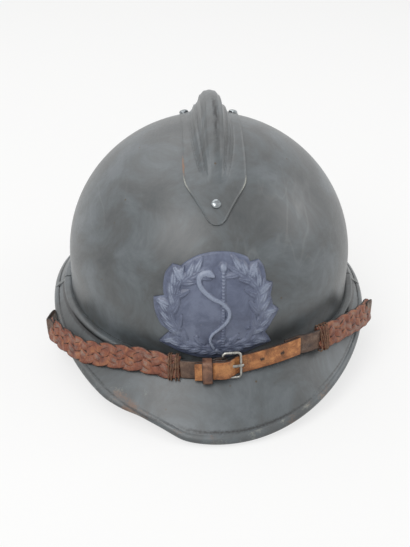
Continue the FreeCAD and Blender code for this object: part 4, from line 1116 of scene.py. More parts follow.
@dataclass
class FrontPlate:
    """The stamped plate: a wreath, a staff and a serpent on a domed ground, with no letters."""

    dome: Dome
    half_width: float = 39.0
    half_height: float = 34.5
    centre_z: float = 72.5
    ground: float = 1.0
    seat: float = 0.25
    staff_x: float = 3.6
    columns: int = 420
    rows: int = 96
    leaves: list[Leaf] = field(default_factory=list)
    edge: tuple[tuple[float, float], ...] = (
        (-178.5, 1.0), (-152, 1.06), (-136, 1.12), (-126, 1.19), (-120.5, 0.89), (-112, 0.965),
        (-97, 0.985), (-84, 1.0), (-79, 0.85), (-72, 0.9), (-58, 0.985), (-47, 1.0),
        (-42, 0.905), (-22, 0.936), (-1.5, 0.949), (22, 0.965), (33, 0.965), (37, 0.92),
        (43, 1.02), (51, 0.99), (64, 0.88), (69, 0.955), (80, 0.86), (91, 0.885), (97, 1.0),
        (108, 0.955), (122, 0.95), (128, 1.19), (139, 1.07), (156, 1.02), (181.5, 1.0))
    serpent_path: tuple[tuple[float, float], ...] = (
        (-2.4, 20.6), (-6.3, 22.2), (-10.5, 20.4), (-11.0, 16.2), (-8.2, 12.0), (-3.0, 8.0),
        (3.4, 4.4), (7.2, -0.8), (6.3, -6.6), (1.8, -11.6), (-2.8, -16.0), (-4.2, -21.0),
        (-2.0, -26.5))

    def outline(self, turn: float) -> float:
        """Reach of the leafy outline in a direction, counted from the top of the plate.

        Args:
            turn: direction, from the plate's top.

        Returns:
            The reach in millimetres.
        """
        base = 1 / math.hypot(math.sin(turn) / self.half_width,
                              math.cos(turn) / self.half_height)
        angles, shares = zip(*self.edge)
        around = math.degrees(math.atan2(math.sin(turn), math.cos(turn)))
        return base * float(np.interp(around, angles, shares, period=360))

    def grow_wreath(self) -> None:
        """Lay two branches of leaves, each from the bottom up one side."""
        draw = random.Random(7)
        for side in (-1, 1):
            for i in range(15):
                angle = math.radians(mixed(176, 24, i / 14))
                for row, tilt in ((0.86, 0.6), (0.66, -0.55), (0.76, 0.05)):
                    if row < 0.7 and i % 2:
                        continue
                    reach = row * self.outline(side * angle)
                    x = side * reach * math.sin(angle)
                    z = reach * math.cos(angle)
                    heading = math.atan2(-side * self.half_width * math.cos(angle),
                                         self.half_height * math.sin(angle))
                    turn = heading + side * (tilt + draw.uniform(-0.12, 0.12))
                    self.leaves.append(Leaf(x, z, turn, draw.uniform(5.4, 6.6),
                                            draw.uniform(1.9, 2.4),
                                            1.45 if row > 0.8 else 1.2))
                berry = draw.uniform(0.6, 0.9)
                self.leaves.append(Leaf(side * self.half_width * berry * math.sin(angle + 0.1),
                                        self.half_height * berry * math.cos(angle + 0.1),
                                        0.0, 1.3, 1.3, 1.3))

        for degrees in (-128, -86, -49, 43, 69, 97, 130):
            angle = math.radians(degrees)
            reach = 0.86 * self.outline(angle)
            self.leaves.append(Leaf(reach * math.sin(angle), reach * math.cos(angle),
                                    angle - math.copysign(0.25, angle), 6.5, 2.7, 1.5))

    def relief(self, x: np.ndarray, z: np.ndarray) -> np.ndarray:
        """Height of the stamping over the ground.

        Args:
            x: places across the plate.
            z: places up the plate, from its centre.

        Returns:
            Heights in millimetres.
        """
        height = np.zeros_like(x)
        for leaf in self.leaves:
            dx, dz = x - leaf.x, z - leaf.z
            along = dx * math.sin(leaf.turn) + dz * math.cos(leaf.turn)
            across = dx * math.cos(leaf.turn) - dz * math.sin(leaf.turn)
            taper = leaf.width * (1 - 0.45 * np.clip(along / leaf.length, -1, 1))
            body = 1 - (along / leaf.length) ** 2 - (across / taper) ** 2
            shape = leaf.height * np.sqrt(np.clip(body, 0, 1))
            shape -= 0.35 * np.exp(-(across / 0.35) ** 2) * (body > 0.05)
            height = np.maximum(height, shape)
        height = np.maximum(height, self.staff(x, z))
        height = np.maximum(height, self.serpent(x, z))
        return np.maximum(height, self.bow(x, z))

    def staff(self, x: np.ndarray, z: np.ndarray) -> np.ndarray:
        """A knurled staff with a knob, beside the middle.

        Args:
            x: places across the plate.
            z: places up the plate, from its centre.

        Returns:
            Heights in millimetres.
        """
        knurl = 1 + 0.22 * np.sin(z * 3.2)
        across = x - self.staff_x
        bar = 1.1 * np.sqrt(np.clip(1 - (across / 1.5) ** 2, 0, 1)) * (z > -25) * (z < 24)
        knob = 1.5 * np.sqrt(np.clip(1 - (across / 2.6) ** 2 - ((z - 25) / 3.0) ** 2, 0, 1))
        return np.maximum(bar * knurl, knob)

    def serpent(self, x: np.ndarray, z: np.ndarray) -> np.ndarray:
        """A serpent that winds down past the staff, head at the top.

        Args:
            x: places across the plate.
            z: places up the plate, from its centre.

        Returns:
            Heights in millimetres.
        """
        height = np.zeros_like(x)
        path = smooth_path([Vector((px, pz, 0)) for px, pz in self.serpent_path], 170)
        for i, point in enumerate(path):
            share = i / 169
            radius = mixed(2.1, 1.1, share) if share > 0.06 else mixed(1.1, 2.6, share / 0.06)
            far = ((x - point.x) ** 2 + (z - point.y) ** 2) / radius ** 2
            height = np.maximum(height, 1.8 * np.sqrt(np.clip(1 - far, 0, 1)))
        return height

    def bow(self, x: np.ndarray, z: np.ndarray) -> np.ndarray:
        """A tied ribbon where the two branches meet.

        Args:
            x: places across the plate.
            z: places up the plate, from its centre.

        Returns:
            Heights in millimetres.
        """
        height = np.zeros_like(x)
        for side in (-1, 1):
            dx, dz = side * x - 4.6, z + 28.0
            along, across = dx * 0.94 + dz * 0.34, -dx * 0.34 + dz * 0.94
            far = (along / 4.8) ** 2 + (across / 2.1) ** 2
            height = np.maximum(height, 1.3 * np.sqrt(np.clip(1 - far, 0, 1)))
        knot = 1 - (x / 1.9) ** 2 - ((z + 28.2) / 2.2) ** 2
        return np.maximum(height, 1.6 * np.sqrt(np.clip(knot, 0, 1)))

    def build(self, paint: bpy.types.Material) -> None:
        """Make and dress the plate.

        Args:
            paint: its finish.
        """
        self.grow_wreath()
        turns = np.linspace(0, math.tau, self.columns + 1)
        reach = np.array([self.outline(t) for t in turns])
        share = (np.arange(self.rows + 1) / self.rows) ** 0.8
        x = np.sin(turns)[:, None] * reach[:, None] * share[None, :]
        z = np.cos(turns)[:, None] * reach[:, None] * share[None, :]
        up = self.relief(x, z)
        rim = np.clip((share - 0.965) / 0.035, 0, 1)[None, :]
        up = up * (1 - rim ** 2)

        def place(u: float, v: float) -> Vector:
            """Point of the stamped face."""
            i, j = round(u * self.columns), round(v * self.rows)
            grow = self.seat + self.ground + float(up[i, j]) - 0.75 * float(rim[0, j]) ** 3
            return self.dome.front(float(x[i, j]), self.centre_z + float(z[i, j]), grow)

        thing = grid_object("front_plate", self.columns, self.rows, place, (240, 38))
        bm = bmesh.new()
        bm.from_mesh(thing.data)
        bmesh.ops.recalc_face_normals(bm, faces=bm.faces[:])
        bm.faces.ensure_lookup_table()
        if sum(f.normal.y for f in bm.faces) > 0:
            bmesh.ops.reverse_faces(bm, faces=bm.faces[:])
        bmesh.ops.solidify(bm, geom=bm.faces[:], thickness=self.dome.steel * MM)
        bm.to_mesh(thing.data)
        bm.free()

        def height_at(place_mm: Vector) -> float:
            """Height of a place over the plate's ground."""
            base = self.dome.front(place_mm.x, place_mm.z, self.seat + self.ground)
            return base.y - place_mm.y

        # Paler high relief: partly rubbed paint, partly painted highlight.
        mark(thing, "wear_and_highlight", lambda p: 0.72 * smooth((height_at(p) - 0.8) / 0.8))
        # Painted shade round the foot of the relief.
        mark(thing, "depth", lambda p: 0.66 * smooth(1 - abs(height_at(p) - 0.2) / 0.25))
        settle(thing, Piece("front_plate", Body.HELMET, "badge_paint", ("badge_plate",)), paint)


# ---------------------------------------------------------------- the chin strap


@dataclass
class StrapCurve:
    """The tilted circle that the strap follows over the visor."""

    radius: float = 124.5
    origin: Vector = field(default_factory=lambda: Vector((-2.0, 11.4, 21.203)))
    tilt: float = math.radians(7.8)
    roll: float = math.radians(2.0)
    lean: float = math.radians(14)
    brim: Brim = field(default_factory=lambda: Brim(Dome()))
    sag: tuple[tuple[float, float], ...] = (
        (-140, 0.0), (-128, -0.5), (-110, -2.5), (-92, -4.4), (-67, -0.6), (-46, 0.6),
        (-27, -2.2), (-12, -3.2), (-4, -3.0), (2, -1.3), (6, -1.0), (17, -1.0), (30, 0.8),
        (56, 3.8), (76, 3.4), (101, 3.4), (118, 1.2), (131, 0.2), (140, 0.0))
    known: dict[int, float] = field(default_factory=dict)

    def drop(self, along: float) -> float:
        """How far the soft strap sags or lifts at a place, without touching the visor.

        Args:
            along: place along the strap.

        Returns:
            Millimetres upwards.
        """
        key = round(along * 4)
        if key not in self.known:
            places, amounts = zip(*self.sag)
            wanted = float(np.interp(along, places, amounts))
            low = self.point(along, 2.0, wanted - 8.3, 1.0, hung=False)
            reach = math.hypot(low.x / self.brim.half_width,
                               (low.y - self.brim.widest_y) / self.brim.front_reach)
            if reach < 1.005:
                bare = self.brim.dome.base + self.brim.fall(low.x, low.y) + 1.3
                wanted += max(0.0, bare - low.z)
            self.known[key] = wanted
        return self.known[key]

    def turned(self) -> Matrix:
        """Rotation of the strap's plane."""
        return Matrix.Rotation(-self.tilt, 3, "X") @ Matrix.Rotation(-self.roll, 3, "Y")

    def point(self, along: float, out: float = 0.0, up: float = 0.0,
              leaning: float = 0.0, hung: bool = True) -> Vector:
        """Point near the curve.

        Args:
            along: millimetres from the middle, towards the wearer's left.
            out: millimetres outwards.
            up: millimetres upwards, square to the strap's plane.
            leaning: share of the plait's lean that turns out and up.
            hung: lets the strap sag there.

        Returns:
            The point in the model's frame.
        """
        lean = self.lean * leaning
        reach = self.radius + out * math.cos(lean) - up * math.sin(lean)
        high = out * math.sin(lean) + up * math.cos(lean)
        high += self.drop(along) if hung else 0.0
        angle = along / self.radius
        flat = Vector((reach * math.sin(angle), -reach * math.cos(angle), high))
        return self.origin + self.turned() @ flat

    def direction(self, along: float, vector: Vector) -> Vector:
        """Turn (out, along, up) at a place on the curve into the model's frame.

        Args:
            along: place along the strap.
            vector: the direction as out, along and up.

        Returns:
            The direction in the model's frame.
        """
        angle = along / self.radius
        out = Vector((math.sin(angle), -math.cos(angle), 0))
        ahead = Vector((math.cos(angle), math.sin(angle), 0))
        flat = out * vector.x + ahead * vector.y + Vector((0, 0, vector.z))
        return self.turned() @ flat


@dataclass
class Plait:
    """A flat plait of round-edged thongs."""

    curve: StrapCurve
    name: str
    start: float
    end: float
    width: float = 16.6
    thongs: int = 5
    pitch: float = 60.0
    thong_half: float = 3.0
    thong_thick: float = 0.9
    weave: float = 0.8
    inset: float = 0.92
    edge_round: float = 0.75
    look_ahead: float = 0.4
    step_mm: float = 0.75
    sides: int = 14

    def thong_at(self, index: int, along: float) -> tuple[float, float]:
        """Sideways and outward place of a thong's middle.

        Args:
            index: number of the thong.
            along: place along the strap.

        Returns:
            Both places in millimetres.
        """
        phase = (along / self.pitch + index / self.thongs) % 1.0
        across = 4 * abs(phase - 0.5) - 1
        swing = self.width / 2 - self.thong_half * self.inset
        across = mixed(across, math.sin(across * math.pi / 2), self.edge_round)
        crossing = (along / self.pitch) * 2 * self.thongs
        near_turn = min(phase % 0.5, 0.5 - phase % 0.5) * 2 * self.thongs
        heading = (1 if phase > 0.5 else -1) * smooth(near_turn)
        return swing * across, self.weave * heading * math.cos(math.pi * crossing)

    def build(self, piece: Piece, leather: bpy.types.Material) -> None:
        """Make every thong and join them into one piece.

        Args:
            piece: name, body, slot and replaced nodes.
            leather: its finish.
        """
        things = []
        steps = round(abs(self.end - self.start) / self.step_mm)
        section = Section(self.thong_half, self.thong_thick, 0.3)
        lean = self.curve.lean
        for index in range(self.thongs):
            stations = []
            for step in range(steps + 1):
                along = mixed(self.start, self.end, step / steps)
                edge = min(step, steps - step) / 3.0
                across, out = self.thong_at(index, along)
                ahead, _ = self.thong_at(index, along + self.look_ahead)
                slope = math.atan2(ahead - across, self.look_ahead)
                middle = self.curve.point(along, out, across, 1.0)
                up_way = self.curve.direction(along, Vector((
                    -math.sin(lean) * math.cos(slope), -math.sin(slope),
                    math.cos(lean) * math.cos(slope))))
                out_way = self.curve.direction(along, Vector((math.cos(lean), 0,
                                                              math.sin(lean))))
                stations.append(Station(middle, up_way, out_way, min(1.0, 0.8 + 0.2 * edge)))
            things.append(strip_object(f"{self.name}_{index}", stations, section, self.sides))
        thing = join_objects(self.name, things)
        # The thongs' darkened edges are painted shade in the seams between them.
        mark_by_uv(thing, self.thong_half)
        settle(thing, piece, leather)


def join_objects(name: str, things: Sequence[bpy.types.Object]) -> bpy.types.Object:
    """Merge some objects at the origin into one.

    Args:
        name: name of the joined object.
        things: mesh objects, all unturned.

    Returns:
        The joined object.
    """
    bm = bmesh.new()
    for thing in things:
        bm.from_mesh(thing.data)
    data = bpy.data.meshes.new(name)
    bm.to_mesh(data)
    bm.free()
    for thing in things:
        bpy.data.objects.remove(thing)
    joined = bpy.data.objects.new(name, data)
    bpy.context.scene.collection.objects.link(joined)
    return joined


def mark_by_uv(thing: bpy.types.Object, half: float) -> None:
    """Darken the edges of a strip and rub its middle, from its section's place. The dark edges
    are the cut edges of a plain strap, and painted shade in the seams of a plait.

    Args:
        thing: a piece made of strips with their UV map in metres.
        half: half width of the strip, for the scale of the marks.
    """
    layer = thing.data.uv_layers["UVMap"].data
    values = [0.0] * len(thing.data.vertices)
    top = max(loop.uv.y for loop in layer) or 1.0
    for loop, data in zip(thing.data.loops, layer):
        turn = math.tau * data.uv.y / top
        values[loop.vertex_index] = abs(math.cos(turn))
    dark = thing.data.attributes.new("depth", "FLOAT", "POINT")
    dark.data.foreach_set("value", [0.95 * smooth((v - 0.72) / 0.26) for v in values])
    rub = thing.data.attributes.new("wear_and_highlight", "FLOAT", "POINT")
    rub.data.foreach_set("value", [
        max(0.0, 0.45 * smooth((0.7 - v) / 0.5)
            * (0.6 + noise.noise(vert.co * (500 / half))))
        for v, vert in zip(values, thing.data.vertices)])


@dataclass
class Strap:
    """The buckle end of the chin strap: plain leathers, keeper, buckle and lashings."""

    curve: StrapCurve
    width: float = 12.5
    leather: float = 1.8
    bar_out: float = 3.4
    bar_at: float = 5.5
    wire: float = 0.9
    gap: float = 0.3
    span: float = 11.0
    holes_at: tuple[float, float] = (24.5, 38.0)
    hole_reach: float = 1.9
    keeper_at: float = -9.5
    keeper_half: tuple[float, float] = (3.25, 0.62)
    turns: int = 5
    thread_radius: float = 0.42
    thread_step: float = 1.5
    thread_tilt: float = 1.9
    wound_half: tuple[float, float] = (8.5, 2.75)

    def ribbon(self, path: Sequence[tuple[float, float]], width: float, thickness: float,
               name: str, step_mm: float = 0.8, sides: int = 20) -> bpy.types.Object:
        """A strip of leather on edge along a path.

        Args:
            path: places along the strap and out from the buckle's bar.
            width: width of the strip.
            thickness: its thickness.
            name: name of the new object.
            step_mm: distance between stations.
            sides: faces round the section.

        Returns:
            The new object.
        """
        knots = [Vector((along, out, 0)) for along, out in path]
        length = sum((b - a).length for a, b in zip(knots, knots[1:]))
        points = smooth_path(knots, max(12, round(length / step_mm)))
        stations = []
        for point, ahead in zip(points, headings(points)):
            normal = Vector((-ahead.y, ahead.x, 0)).normalized()
            middle = self.curve.point(point.x, self.bar_out + point.y)
            out_way = self.curve.direction(point.x, Vector((normal.y, normal.x, 0)))
            up_way = self.curve.direction(point.x, Vector((0, 0, 1)))
            stations.append(Station(middle, up_way, out_way))
        return strip_object(name, stations, Section(width / 2, thickness / 2, 0.75), sides)

    def dress(self, thing: bpy.types.Object, piece: Piece,
              leather: bpy.types.Material) -> None:
        """Mark the cut edges of a strip and settle it."""
        mark_by_uv(thing, self.width / 2)
        settle(thing, piece, leather)

    def build(self, tan: bpy.types.Material, brown: bpy.types.Material,
              dark: bpy.types.Material, wire: bpy.types.Material,
              thread: bpy.types.Material) -> None:
        """Make all the pieces at the buckle.

        Args:
            tan: finish of the pointed strap end.
            brown: finish of the keeper.
            dark: finish of the older leathers.
            wire: finish of the buckle's tongue.
            thread: finish of the lashings.
        """
        bar, fold = self.bar_at, self.wire + self.gap + self.leather
        deep = -fold + 0.15 + (self.leather + 0.5) / 2
        fold_mid = fold - self.leather / 2
        chape = self.ribbon([
            (bar - 26, deep), (bar - 18, deep), (bar - 8, deep - 0.1), (bar, -fold_mid),
            (bar + 1.5, -fold_mid * 0.72), (bar + fold_mid, 0.0), (bar + 1.5, fold_mid * 0.72),
            (bar, fold_mid), (bar - 3.0, 1.0), (bar - 7.0, deep + self.leather + 0.25)],
            self.width, self.leather, "folded_leather", 0.6)
        self.dress(chape, Piece("folded_leather", Body.STRAP, "dark_leather",
                                ("buckle_strap",)), dark)
        self.build_billet(tan, dark, deep, fold)
        self.build_keeper(brown, deep)
        self.build_lashings(thread)
        self.build_prong(wire)

    def build_billet(self, tan: bpy.types.Material, old: bpy.types.Material, deep: float,
                     fold: float) -> None:
        """The pointed strap end that goes through the buckle, with its punched holes.

        Args:
            tan: its finish.
            old: finish of the leather below it.
            deep: how far out the folded leather lies.
            fold: how far the fold reaches from the bar.
        """
        bar, low = self.bar_at, -self.wire - self.gap - self.leather / 2
        high = fold + self.gap + self.leather / 2
        on_lap = deep + 2 * self.leather + self.gap + 0.2
        rest = deep + 0.5 + self.leather + self.gap
        path = [(bar + 51, low), (bar + 42, low), (bar + 34, low), (bar + 20, low),
                (bar + self.span - 1.2, low), (bar + 5.6, 0.9), (bar + 3.0, high - 0.7),
                (bar, high), (bar - 2.4, high - 0.4), (bar - 6.0, on_lap),
                (bar - 9.5, on_lap), (bar - 13.0, rest + 0.2), (bar - 17.0, rest)]
        thing = self.ribbon(path, self.width, self.leather, "pointed_leather", 0.4, 56)
        # Painted shade where the punched holes are: dark discs on the leather, with no holes
        # cut.
        holes = [self.curve.point(bar + at, self.bar_out + low) for at in self.holes_at]
        values = []
        for vert in thing.data.vertices:
            near = min((vert.co / MM - hole).length for hole in holes)
            values.append(smooth((self.hole_reach - near) / 0.5))
        self.dress(thing, Piece("pointed_leather", Body.STRAP, "tan_leather",
                                ("billet_strap",)), tan)
        dark = thing.data.attributes["depth"].data
        for i, value in enumerate(values):
            dark[i].value = max(dark[i].value, value)
        under = self.ribbon([(bar + 67, low - 0.6), (bar + 56, low - 0.8), (bar + 50, low - 2.1),
                             (bar + 41, low - 2.1)], self.width + 0.8, self.leather,
                            "plait_tail_leather")
        self.dress(under, Piece("plait_tail_leather", Body.STRAP, "dark_leather"), old)

    def build_keeper(self, brown: bpy.types.Material, deep: float) -> None:
        """The leather loop that holds the strap's end down.

        Args:
            brown: its finish.
            deep: how far out the folded leather lies.
        """
        centre = self.bar_at + self.keeper_at
        inner = deep - (self.leather + 0.5) / 2 - self.gap
        outer = deep + 2.5 * self.leather + 3.4 * self.gap + 0.2
        half = self.width / 2 + self.gap + 0.65
        middle_out = (inner + outer) / 2
        loop = Section(half, (outer - inner) / 2 + 0.65, 0.86)
        stations, count = [], 48
        for step in range(count):
            share = step / count
            up, out = loop.point(share)
            ahead = loop.point(share + 0.004)
            tangent = Vector((ahead[1] - out, 0, ahead[0] - up)).normalized()
            middle = self.curve.point(centre, self.bar_out + middle_out + out, up)
            normal = self.curve.direction(centre, Vector((tangent.z, 0, -tangent.x)))
            stations.append(Station(middle, self.curve.direction(centre, Vector((0, 1, 0))),
                                    normal))
        thing = strip_object("keeper_loop", stations, Section(*self.keeper_half, 0.7), 14,
                             closed=True)
        self.dress(thing, Piece("keeper_loop", Body.SLIDER, "tan_leather", ("keeper",)), brown)

    def build_lashings(self, thread: bpy.types.Material) -> None:
        """Thread wound round each plait's end, with loose tails.

        Args:
            thread: its finish.
        """
        draw = random.Random(11)
        wound, count = Section(*self.wound_half, 0.6), 40
        cord = Section(self.thread_radius, self.thread_radius, 0.0)
        for side, start, way in (("right", self.bar_at - 26, -1), ("left", self.bar_at + 66, 1)):
            things = []
            for turn in range(self.turns):
                along = start + way * (1.2 + self.thread_step * turn)
                tilt = draw.uniform(-self.thread_tilt, self.thread_tilt)
                stations = []
                for step in range(count):
                    up, out = wound.point(step / count)
                    shift = along + tilt * up / 8.0
                    stations.append(Station(
                        self.curve.point(shift, out, up, 1.0),
                        self.curve.direction(shift, Vector((0, 1, 0))),
                        self.curve.direction(shift, Vector((math.copysign(0.6, out), 0,
                                                            0.8 * up / 8.0)).normalized())))
                things.append(strip_object(f"turn_{side}_{turn}", stations, cord, 8,
                                           closed=True))
            thing = join_objects(f"lashing_{side}", things)
            settle(thing, Piece(thing.name, Body.STRAP, "lacing_thread", (f"lacing_{side}",)),
                   thread)

    def build_prong(self, wire: bpy.types.Material) -> None:
        """The buckle's tongue: an eye round the bar and a bent wire shaft.

        Args:
            wire: its finish.
        """
        stations = []
        reach = self.wire + self.gap + 0.45
        path = [Vector((-reach * math.sin(t), reach * math.cos(t), 0))
                for t in [math.radians(mixed(-300, 0, s / 15)) for s in range(16)]]
        path += [Vector((4, 1.75, 0)), Vector((8, 1.9, 0)), Vector((11, 1.75, 0)),
                 Vector((12.4, 1.35, 0))]
        for point, ahead in zip(path, headings(path)):
            normal = Vector((-ahead.y, ahead.x, 0)).normalized()
            stations.append(Station(
                self.curve.point(self.bar_at + point.x, self.bar_out + point.y, hung=False),
                self.curve.direction(self.bar_at, Vector((0, 0, 1))),
                self.curve.direction(self.bar_at, Vector((normal.y, normal.x, 0)))))
        thing = strip_object("prong_wire", stations, Section(1.0, 0.45, 0.3), 12)
        settle(thing, Piece("prong_wire", Body.PRONG, "steel_wire", ("buckle_tongue",)), wire)


@dataclass
class StrapEnds:
    """The plain leather from each plait, round the brim's edge, to the loop on the bail."""

    curve: StrapCurve
    width: float = 12.5
    leather: float = 1.8
    wraps: tuple[tuple[str, int, float], ...] = (("left", 1, 62.5), ("right", -1, 59.2))
    under_brim: tuple[Point, ...] = (
        (109.4, -30.5, 18.5), (105.5, -17.5, 8.6), (98.6, -5.5, 8.4), (94.9, -1.8, 13.5),
        (94.7, -1.8, 17.2))
    loop_middle: Point = (94.7, -1.8, 22.2)
    loop_half: tuple[tuple[float, float], ...] = (
        (0.95, -4.9), (1.05, -3.2), (2.25, -0.6), (1.6, 1.7))
    loop_top: float = 2.35

    def build(self, dark: bpy.types.Material) -> None:
        """Make both ends and both loops.

        Args:
            dark: their finish.
        """
        for side, sign, wrap in self.wraps:
            self.build_end(side, sign, wrap, dark)
            self.build_loop(side, sign, dark)

    def build_end(self, side: str, sign: int, wrap: float, dark: bpy.types.Material) -> None:
        """One strap end, bent edgeways under the brim.

        Args:
            side: left or right.
            sign: 1 on the wearer's left and -1 on the right.
            wrap: where it leaves the plait, in degrees.
            dark: its finish.
        """
        along = sign * math.radians(wrap) * self.curve.radius
        start = self.curve.point(along)
        before = self.curve.point(along - sign * 4)
        knots = [before, start, self.curve.point(along + sign * 5, 0.3, -1.5),
                 *(Vector((sign * x, y, z)) for x, y, z in self.under_brim)]
        points = smooth_path(knots, 60)
        outward = self.curve.direction(along, Vector((1, 0, 0)))
        stations = []
        for i, (point, ahead) in enumerate(zip(points, headings(points))):
            share = i / (len(points) - 1)
            out = outward * (1 - share) + Vector((sign, 0, 0)) * share
            out = (out - ahead * out.dot(ahead)).normalized()
            stations.append(Station(point, out.cross(ahead).normalized(), out))
        thing = strip_object(f"strap_turn_{side}", stations,
                             Section(self.width / 2, self.leather / 2, 0.7), 20)
        mark_by_uv(thing, self.width / 2)
        thing.data.materials.clear()
        thing.data.materials.append(dark)
        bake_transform(thing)
        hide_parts(f"strap_end_{side}")
        log.info("piece %s blends", thing.name)

    def build_loop(self, side: str, sign: int, dark: bpy.types.Material) -> None:
        """The stitched loop round a bail's lower bar.

        Args:
            side: left or right.
            sign: 1 on the wearer's left and -1 on the right.
            dark: its finish.
        """
        x, y, z = self.loop_middle
        centre = Vector((sign * x, y, z))
        body = Body.LEFT_BAIL if sign > 0 else Body.RIGHT_BAIL
        knots = [Vector((out, 0, up)) for out, up in self.loop_half]
        knots += [Vector((0, 0, self.loop_top))]
        knots += [Vector((-out, 0, up)) for out, up in reversed(self.loop_half)]
        points = smooth_path(knots, 44)
        stations = []
        for point, ahead in zip(points, headings(points)):
            stations.append(Station(centre + point, Vector((0, 1, 0)),
                                    ahead.cross(Vector((0, 1, 0)))))
        thing = strip_object(f"bail_leather_{side}", stations,
                             Section(self.width / 2, self.leather / 2, 0.7), 16)
        mark_by_uv(thing, self.width / 2)
        settle(thing, Piece(thing.name, body, "dark_leather", (f"strap_loop_{side}",)), dark)


# ---------------------------------------------------------------- the liner


@dataclass
class Liner:
    """The leather band, its tongues and lace, and the wool strip behind it."""

    dome: Dome
    outer_grow: float = -8.3
    leather: float = 1.6
    low: float = 1.5
    high: float = 42.0
    cradle_rise: float = 46.0
    wool_ring: Point = (-5.85, 5.0, 36.0)
    tongues: int = 7
    tongue_half_turn: float = math.radians(20)
    tongue_neck: float = 12.3
    tongue_tip: float = 6.5
    opening: float = 24.0
    lace_reach: float = 30.5
    lace_height: float = 120.2
    lace_radius: float = 0.95

    def ring(self, grow: float, low: float, high: float) -> Placer:
        """Places on a ring that follows the bowl: u goes round and v up.

        Args:
            grow: distance outwards from the bowl.
            low: height of its lower edge over the base.
            high: height of its upper edge.

        Returns:
            The function that places its points.
        """

        def place(u: float, v: float) -> Vector:
            """Point of the ring."""
            height = mixed(low, high, v)
            up = max(0.0, height - self.dome.wall) / (self.dome.rise + grow)
            shrink = math.sqrt(1 - up * up)
            turn = math.tau * u
            return Vector(((self.dome.half_width + grow) * shrink * math.sin(turn),
                           self.dome.middle_y
                           - (self.dome.half_length + grow) * shrink * math.cos(turn),
                           self.dome.base + height))

        return place

    def build(self, leather: bpy.types.Material, wool: bpy.types.Material,
              lace: bpy.types.Material) -> None:
        """Make every soft piece of the liner.

        Args:
            leather: finish of the band and the tongues.
            wool: finish of the strip.
            lace: finish of the lace.
        """
        band = grid_object("head_band", 160, 20, self.ring(self.outer_grow - 0.05, self.low,
                                                           self.high), (590, 40), 1.5)
        mark(band, "wear_and_highlight", lambda p: 0.45 * smooth(1 - abs(p.z - 38) / 6))
        mark(band, "depth", lambda p: 0.5 * smooth(1 - abs(p.z - 72.4) / 1.2))
        settle(band, Piece("head_band", Body.HELMET, "liner_leather", ("liner_band",)), leather)
        strip = grid_object("wool_strip", 120, 8, self.ring(*self.wool_ring), (620, 31), 2.0)
        settle(strip, Piece("wool_strip", Body.HELMET, "wool_felt", ("wool_band",)), wool)
        things = [self.tongue(i) for i in range(self.tongues)]
        skin = join_objects("lining_tongues", things)
        mark(skin, "wear_and_highlight", lambda p: 0.3)
        settle(skin, Piece("lining_tongues", Body.HELMET, "liner_leather", ("liner_tongues",)),
               leather)
        self.build_lace(lace)

    def tongue(self, index: int) -> bpy.types.Object:
        """One tongue of the lining, wide at the band and rounded at its tip.

        Args:
            index: number of the tongue.

        Returns:
            The new object.
        """
        turn = math.tau * (index + 0.5) / self.tongues
        squeeze = math.sqrt(1 - ((self.high - self.dome.wall) / self.dome.rise) ** 2)
        wide = (self.dome.half_width + self.outer_grow) * squeeze
        long = (self.dome.half_length + self.outer_grow) * squeeze

        def place(u: float, v: float) -> Vector:
            """Point of the tongue."""
            share = mixed(0.996, self.opening / long, v)
            taper = mixed(self.tongue_half_turn * long, self.tongue_neck, smooth(v / 0.45))
            taper = mixed(taper, self.tongue_tip, smooth((v - 0.42) / 0.4))
            if v > 0.9:
                taper = self.tongue_tip * math.sqrt(max(0.0, 1 - ((v - 0.9) / 0.1) ** 2))
            heading = turn + (2 * u - 1) * taper / (long * share)
            lift = self.cradle_rise * math.sqrt(1 - share * share)
            return Vector((wide * share * math.sin(heading),
                           self.dome.middle_y - long * share * math.cos(heading),
                           self.dome.base + self.high + lift))

        return grid_object(f"tongue_{index}", 18, 30, place, (60, 75), 1.4, flip=True)

    def build_lace(self, lace: bpy.types.Material) -> None:
        """The lace through the tongues' eyelets.

        Args:
            lace: its finish.
        """
        stations, count = [], 16 * self.tongues
        for step in range(count):
            turn = math.tau * step / count
            reach = self.lace_reach + 0.25 * math.sin(self.tongues * turn)
            out = Vector((math.sin(turn), -math.cos(turn), 0))
            middle = Vector((0, self.dome.middle_y, self.lace_height)) + out * reach
            stations.append(Station(middle, Vector((0, 0, 1)), out))
        cord = Section(self.lace_radius, self.lace_radius, 0.0)
        thing = strip_object("drawn_lace", stations, cord, 10, closed=True)
        settle(thing, Piece("drawn_lace", Body.HELMET, "lace_cord", ("liner_lace",)), lace)


# ---------------------------------------------------------------- the studio


